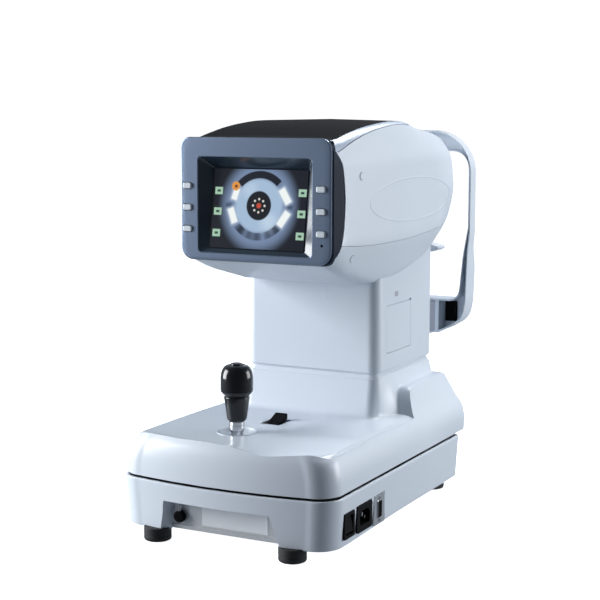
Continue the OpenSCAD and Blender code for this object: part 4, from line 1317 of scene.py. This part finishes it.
def make_switch():
    opening = round_rect(17.4, 20.8, 1, 3)
    rim = side_prism("switch_bezel", round_rect(25.6, 27.6, 2.5, 5), SWITCH_PLACE, -2.1, 0.2)
    cut(rim, side_prism("cutter", opening, SWITCH_PLACE, -6, 4))
    soften(rim, 0.5, 2)
    body = side_prism("switch_body", round_rect(21, 23, 1, 3), SWITCH_PLACE, -18.6, -2.0)
    cut(body, side_prism("cutter", opening, SWITCH_PLACE, -15.8, 4))
    finish_piece(rim, "base", "satin_black", "switch_frame")
    finish_piece(body, "base", "satin_black")


def make_inlet():
    flange = side_prism("inlet_flange", round_rect(38.6, 29.6, 4, 6), INLET_PLACE, -2.1, 0.2)
    unite(flange, side_prism("inlet_body", round_rect(29, 21.2, 2, 4), INLET_PLACE, -31.3, 0.1))
    mouth = [(-12, -8), (12, -8), (12, 4), (7, 8), (-7, 8), (-12, 4)]
    cut(flange, side_prism("cutter", mouth, INLET_PLACE, -17, 4))
    pins = []
    for y, z in [(-7, -2), (7, -2), (0, 2)]:
        outline = [(y - 1, z - 2), (y + 1, z - 2), (y + 1, z + 2), (y - 1, z + 2)]
        pins.append(side_prism("inlet_pins", outline, INLET_PLACE, -17.8, -3))
    soften(flange, 0.5, 2)
    finish_piece(flange, "base", "satin_black", "power_inlet")
    blades = unite(*pins)
    soften(blades, 0.3, 2)
    finish_piece(blades, "base", "chrome")


def make_serial_port():
    y, z = SERIAL_PLACE
    plate = side_prism("serial_plate", round_rect(27.6, 32.6, 1.5, 4), SERIAL_PLACE, -1.9, -0.5)
    unite(plate, side_prism("serial_shroud", round_rect(12.4, 20.5, 2.2, 5), SERIAL_PLACE, -1.9, 0.2))
    cut(plate, side_prism("cutter", round_rect(10.4, 18.5, 1.8, 5), SERIAL_PLACE, -4, 3))
    soften(plate, 0.25, 2)
    finish_piece(plate, "base", "ground_steel", "serial_port")
    core = side_prism("serial_insert", round_rect(10.2, 18.3, 1.7, 5), SERIAL_PLACE, -10, -0.9)
    holes = []
    for row, count in ((-1.5, 5), (1.5, 4)):
        for i in range(count):
            holes.append(lathe("cutter", [(0, 120), (0.6, 120), (0.6, 134), (0, 134)],
                               (0, y + row, z + 2.8 * (i - (count - 1) / 2)), "X", 10))
    cut(core, *holes)
    finish_piece(core, "base", "satin_black")
    profile = [(0, -1), (2.5, -1), (2.5, -0.1), (2.2, 0.2), (1.2, 0.2), (1.2, -0.8), (0, -0.8)]
    for number, step in ((1, -12.5), (2, 12.5)):
        screw = lathe(f"jack_screw_{number}", profile, (SIDE_X, y, z + step), "X", 6)
        finish_piece(screw, "base", "chrome")


def make_ports():
    make_switch()
    make_inlet()
    make_serial_port()
    soften_node(frame["nodes"]["power_rocker"], 0.5)


def soften_node(obj, width):
    """A small edge radius on a CAD node that is shown as it is."""
    step = obj.modifiers.new("soft edges", "BEVEL")
    step.width = width * MM
    step.segments = 2
    step.limit_method = "ANGLE"
    step.angle_limit = math.radians(40)


CAP_PROFILE = [(0, -1.6), (3.9, -1.6), (3.9, 0.35), (3.5, 0.6), (2.8, 0.5), (0, 0.45)]
# A thin disc behind each cap whose dark rim shows as painted shadow round the cap.
SHADOW_RING_PROFILE = [(0, -1.2), (4.5, -1.2), (4.5, 0.12), (0, 0.12)]


def make_screw_caps():
    """Shallow round caps over the screws in the head's side, each in a fine dark grey ring that is painted
    shadow in the joint.
    """
    for name, y, z in [("upper", -103.0, 392.0), ("lower", -116.0, 304.0)]:
        lean = math.atan2(side_x(y, z + 3) - side_x(y, z - 3), 6)
        turn = Matrix.Rotation(math.radians(-1.6), 4, "Z") @ Matrix.Rotation(lean, 4, "Y")
        place = Matrix.Translation(Vector((side_x(y, z), y, z)) * MM) @ turn
        for kind, profile, slot, look in [("cap", CAP_PROFILE, "shell_white", None),
                                          ("ring", SHADOW_RING_PROFILE, "insert_grey", JOINT_SHADOW)]:

            def turned(title):
                piece = lathe(title, profile, (0, 0, 0), "X", 40)
                piece.data.transform(place)
                return piece

            both_sides(f"screw_{kind}_{name}", turned, slot, look)


OVAL_PLACE = (31.0, 361.0)
OVAL_SIZE = (114.0, 24.5)
BEAD = ((-0.9, -0.4), (-0.7, 0.12), (-0.3, 0.32), (0.3, 0.32), (0.7, 0.12), (0.9, -0.4))


def make_side_ovals():
    """The long raised oval line moulded on each side of the head."""

    def bead(title):
        rings = []
        for t in np.linspace(0, 2 * math.pi, 120, endpoint=False):
            along, up = math.cos(t), math.sin(t)
            y = OVAL_PLACE[0] + OVAL_SIZE[0] * along
            z = OVAL_PLACE[1] + OVAL_SIZE[1] * up
            normal = np.array([along / OVAL_SIZE[0], up / OVAL_SIZE[1]])
            normal = normal / np.linalg.norm(normal)
            points = []
            for step, height in BEAD:
                place = np.array([y, z]) + normal * step
                points.append((side_x(float(place[0]), float(place[1])) + height, place[0], place[1]))
            rings.append(points)
        return loft(title, rings, wrap=True)

    both_sides("side_oval", bead, "shell_white")


# ---------------------------------------------------------------- headrest

ARCH_FRONT = 205.0
ARCH_DEPTH = 19.0
ARCH_LOW_DEPTH = 30.0


def joined(*parts):
    """One line from parts that each start where the last one ends."""
    out = [parts[0]]
    for part in parts[1:]:
        out.append(part[1:])
    return np.concatenate(out)


def arch_sides():
    """Right half of the arch's outer and inner outlines, top middle to bottom middle, point for point."""
    outer = joined(
        resample(np.array([(0, 436.0), (54.5, 436)]), 8), arc(54.5, 382, 54, 90, 0, 18),
        resample(np.array([(108.5, 382), (108.5, 308)]), 8),
        resample(fillet([(108.5, 308), (105.9, 284), (104.0, 219)], [60], 8, 5), 14),
        resample(fillet([(104, 219), (100, 196), (74, 180), (50, 174)], [26, 60], 10, 3), 18),
        resample(np.array([(50, 174.0), (0, 174)]), 8))
    inner = joined(
        resample(np.array([(0, 410.0), (78, 410)]), 8),
        resample(fillet([(78, 410), (105.2, 410), (105.2, 382)], [21], 14, 3), 18),
        resample(np.array([(105.2, 382), (105.4, 315)]), 8),
        resample(fillet([(105.4, 315), (99.2, 280), (95.0, 238)], [80], 8, 5), 14),
        resample(fillet([(95, 238), (93, 221.7), (78, 221.7)], [13], 10, 3), 18),
        resample(np.array([(78, 221.7), (0, 221.7)]), 8))
    return outer, inner


def make_arch():
    outer, inner = arch_sides()
    outer = np.concatenate([outer, outer[1:-1][::-1] * [-1, 1]])
    inner = np.concatenate([inner, inner[1:-1][::-1] * [-1, 1]])
    width = np.linalg.norm(outer - inner, axis=1)
    z = (outer[:, 1] + inner[:, 1]) / 2
    depth = ARCH_DEPTH + (ARCH_LOW_DEPTH - ARCH_DEPTH) * (1 - smooth_step((z - 262) / 43))
    skin = np.minimum(3.0, width * 0.4) / width
    pocket = np.maximum((depth - 4.5) * smooth_step((width - 5.5) / 7), 0.2)
    soft = np.minimum(1.0, width * 0.22) / width
    back = ARCH_FRONT + depth
    outer_side = [(0, ARCH_FRONT + 0.9), (0, ARCH_FRONT + 3), (0, back - 3), (0, back - 1.2),
                  (soft * 0.35, back - 0.35), (soft * 1.2, back)]
    inner_side = [(1 - soft * 1.2, back), (1 - soft * 0.35, back - 0.35), (1, back - 1.2), (1, ARCH_FRONT + 3),
                  (1, ARCH_FRONT + 0.9), (1 - soft * 0.35, ARCH_FRONT + 0.25), (1 - soft, ARCH_FRONT)]
    hollow = [(1 - skin, ARCH_FRONT), (1 - skin, ARCH_FRONT + pocket * 0.5), (1 - skin, ARCH_FRONT + pocket),
              (skin, ARCH_FRONT + pocket), (skin, ARCH_FRONT + pocket * 0.5), (skin, ARCH_FRONT)]
    front = [(soft, ARCH_FRONT), (soft * 0.35, ARCH_FRONT + 0.25)]
    rings = []
    for share, y in outer_side + inner_side + hollow + front:
        flat = outer + (inner - outer) * np.broadcast_to(share, len(outer))[:, None]
        rings.append(facing(flat, y))
    frame_shell = loft("headrest_arch", rings, wrap=True)
    finish_piece(frame_shell, "base", "shell_white", "headrest_frame", angle=40)
    for side, x in (("right", 65.0), ("left", -65.0)):
        rib = block(f"arch_rib_{side}", (x - 2.5, ARCH_FRONT + 0.4, 177), (x + 2.5, ARCH_FRONT + 27, 219.5))
        soften(rib, 0.6, 2)
        finish_piece(rib, "base", "shell_white")
    insert = prism("arch_insert", round_rect(126.5, 39, 2, 4) + (0, 198), ARCH_FRONT + 1, ARCH_FRONT + 3)
    soften(insert, 0.5, 2)
    finish_piece(insert, "base", "insert_grey", "headrest_insert")
    # Black plates at the back of the arch's lower pockets: painted shade that makes the pockets read dark.
    for side, low, high in (("right", 67.9, 84.0), ("left", -84.0, -67.9)):
        plate = block(f"pocket_shade_plate_{side}", (low, ARCH_FRONT + 22, 190), (high, ARCH_FRONT + 24.5, 216))
        soften(plate, 1.2, 3)
        finish_piece(plate, "base", "satin_black")


PAD_EDGE = [(1.0, 0.0), (1.0, 0.45), (0.985, 0.7), (0.95, 0.88), (0.88, 0.97), (0.7, 1.0), (0.45, 1.0),
            (0.2, 1.0)]


def pad_shape(name, outline, front, back, crown, hollow):
    """A soft pad: rounded edges, a crowned face and a hollow across its width."""
    outline = np.asarray(outline, float)
    middle = outline.mean(axis=0)
    wide = np.abs(outline[:, 0] - middle[0]).max()
    rings = []
    for share, rise in PAD_EDGE:
        flat = middle + (outline - middle) * share
        across = np.abs(flat[:, 0] - middle[0]) / wide
        crowned = crown * (1 - share) * (rise > 0.9)
        rings.append(facing(flat, front + (back - front) * rise + crowned - hollow * (1 - across ** 2) * rise))
    return loft(name, rings, caps=True)


def make_forehead_rest():
    low, high = box("forehead_pad")
    middle = (low + high) / 2
    outline = round_rect(high[0] - low[0], high[2] - low[2], 11.5, 10) + (middle[0], middle[2])
    pad = pad_shape("forehead_cushion", outline, low[1] + 0.2, high[1] - 1.0, 0.8, 4.5)
    finish_piece(pad, "base", "rest_white", "forehead_pad")


CHIN_Y = 219.0


def make_chin_rest():
    high = box("chin_rest")[1]
    y0, y1 = 205.2, high[1]
    top = high[2]
    xs = np.linspace(-64.5, 64.5, 61)
    ys = np.linspace(0, 1, 15)

    def upper(x, t):
        hollow = 9.6 * np.exp(-(x / 31.0) ** 2) * smooth_step(t * 1.6 + 0.25)
        end = 3.4 * smooth_step((np.abs(x) - 52) / 16)
        lip = 1.1 * smooth_step((0.10 - t) / 0.1) + 1.1 * smooth_step((t - 0.90) / 0.1)
        return top - 0.4 - hollow - end - lip

    def under(x, t):
        end = 5.2 * smooth_step((np.abs(x) - 54) / 14) ** 2
        return np.minimum(top - 10.6 + end, upper(x, t) - 3.1)

    def reach(x):
        """How far the rest stands out at x: its ends are cut back behind the arch."""
        return 233 + (y1 - 233) * (1 - smooth_step((np.abs(x) - 30) / 9))

    rings = []
    for x in xs:
        y = y0 + (reach(x) - y0) * ys
        face = np.stack([np.full(len(ys), x), y, upper(x, ys)], axis=1)
        back = np.stack([np.full(len(ys), x), y, under(x, ys)], axis=1)[::-1]
        rings.append(np.concatenate([face, back]))
    rest = loft("chin_tray", rings, caps=True)
    soften(rest, 0.9, 3, 45)
    finish_piece(rest, "chin_rest", "rest_white", "chin_rest")
    post = lathe("chin_post", [(0, 205), (5.6, 205), (6, 205.5), (6, top - 12), (0, top - 12)],
                 (0, CHIN_Y, 0), "Z", 40)
    finish_piece(post, "chin_rest", "chrome")


# ---------------------------------------------------------------- CAD nodes shown as they are


def dress_cad_nodes():
    for part in frame["record"]["subparts"]:
        obj = frame["nodes"][part["node"]]
        obj.data.materials.clear()
        obj.data.materials.append(LOOKS[part["material_slot"]])
    for name in ("headrest_post", "mire_ring", "carriage_plate", "slide_plate"):
        soften_node(frame["nodes"][name], 0.8)


# ---------------------------------------------------------------- set

CAMERA_PLACE = (0.75048, -1.50893, 0.46689)
CAMERA_DOWN = 7.68
CAMERA_ROLL = -0.09
CAMERA_TURN = 27.28
CAMERA_LENS = 86.55
ROOM_RADIUS = 9000
COOL_WHITE = (0.97, 0.985, 1.0)


def set_camera():
    data = bpy.data.cameras.new("photo view")
    data.sensor_width = 36
    data.lens = CAMERA_LENS
    camera = bpy.data.objects.new("photo view", data)
    bpy.context.scene.collection.objects.link(camera)
    camera.location = CAMERA_PLACE
    angles = (90 - CAMERA_DOWN, CAMERA_ROLL, CAMERA_TURN)
    camera.rotation_euler = Euler([math.radians(a) for a in angles], "XYZ")
    bpy.context.scene.camera = camera


def area_light(name, place, aim, size, power, colour=(1, 1, 1), tall=None):
    data = bpy.data.lights.new(name, "AREA")
    data.shape = "RECTANGLE"
    data.size = size
    data.size_y = tall or size
    data.energy = power
    data.color = colour
    light = bpy.data.objects.new(name, data)
    bpy.context.scene.collection.objects.link(light)
    light.location = place
    light.rotation_euler = (Vector(aim) - Vector(place)).to_track_quat("-Z", "Y").to_euler()


def shade_world(tree):
    """A soft blue-grey room that is darkest on the operator's right, where it leaves the corners deep."""
    nodes, links = tree.nodes, tree.links
    place = nodes.new("ShaderNodeTexCoord")
    dark = nodes.new("ShaderNodeVectorMath")
    dark.operation = "DOT_PRODUCT"
    dark.inputs[1].default_value = (0.42, -0.80, 0.35)
    links.new(place.outputs["Generated"], dark.inputs[0])
    level = nodes.new("ShaderNodeMapRange")
    level.interpolation_type = "SMOOTHSTEP"
    set_socket(level, From_Min=-0.2, From_Max=0.9, To_Min=0.43, To_Max=0.12)
    links.new(dark.outputs["Value"], level.inputs["Value"])
    ground = nodes["Background"]
    ground.inputs["Color"].default_value = (0.78, 0.88, 1.0, 1)
    links.new(level.outputs["Result"], ground.inputs["Strength"])


def set_stage():
    scene = bpy.context.scene
    scene.view_settings.view_transform = "Standard"
    world = bpy.data.worlds.new("studio")
    scene.world = world
    world.use_nodes = True
    shade_world(world.node_tree)
    look, nodes, links, shader = node_material("studio_floor")
    links.new(blend_colours(nodes, links, grain(nodes, links, 3), (0.86, 0.87, 0.88), (0.88, 0.89, 0.90)),
              shader.inputs["Base Color"])
    set_socket(shader, Roughness=0.9, Emission_Color=(1, 1, 1, 1), Emission_Strength=0.93)
    floor = mesh_object("studio_floor", at_height(arc(0, 0, ROOM_RADIUS, 0, 360, 64)[:-1], -0.4), [range(64)])
    floor.data.materials.append(look)
    look, nodes, links, shader = node_material("studio_backdrop")
    set_socket(shader, Base_Color=(0, 0, 0, 1), Emission_Color=(1, 1, 1, 1), Emission_Strength=1.05)
    radius = ROOM_RADIUS - 200
    rings = [at_height(arc(0, 0, radius * math.cos(up), 0, 360, 64)[:-1], radius * math.sin(up))
             for up in np.linspace(-0.02, 1.5, 14)]
    dome = loft("studio_backdrop", rings)
    dome.data.materials.append(look)
    dome.visible_diffuse = False
    dome.visible_glossy = False
    dome.visible_transmission = False
    dome.visible_shadow = False
    floor.visible_diffuse = False
    floor.visible_glossy = False
    area_light("key", (-1.45, -0.80, 0.55), (0, -0.1, 0.22), 0.9, 43, COOL_WHITE, 1.1)
    area_light("side", (1.45, 0.85, 0.50), (0, 0, 0.25), 0.9, 18, COOL_WHITE)
    area_light("top", (0.35, 1.2, 1.9), (0, 0, 0.4), 0.7, 28)


make_base()
make_cover()
make_column()
make_door()
make_head()
make_bezel()
make_keys()
make_screen()
make_screw_caps()
make_side_ovals()
make_joystick()
make_lever()
make_lock()
make_front_plate()
make_feet()
make_ports()
make_arch()
make_forehead_rest()
make_chin_rest()
dress_cad_nodes()
set_camera()
set_stage()
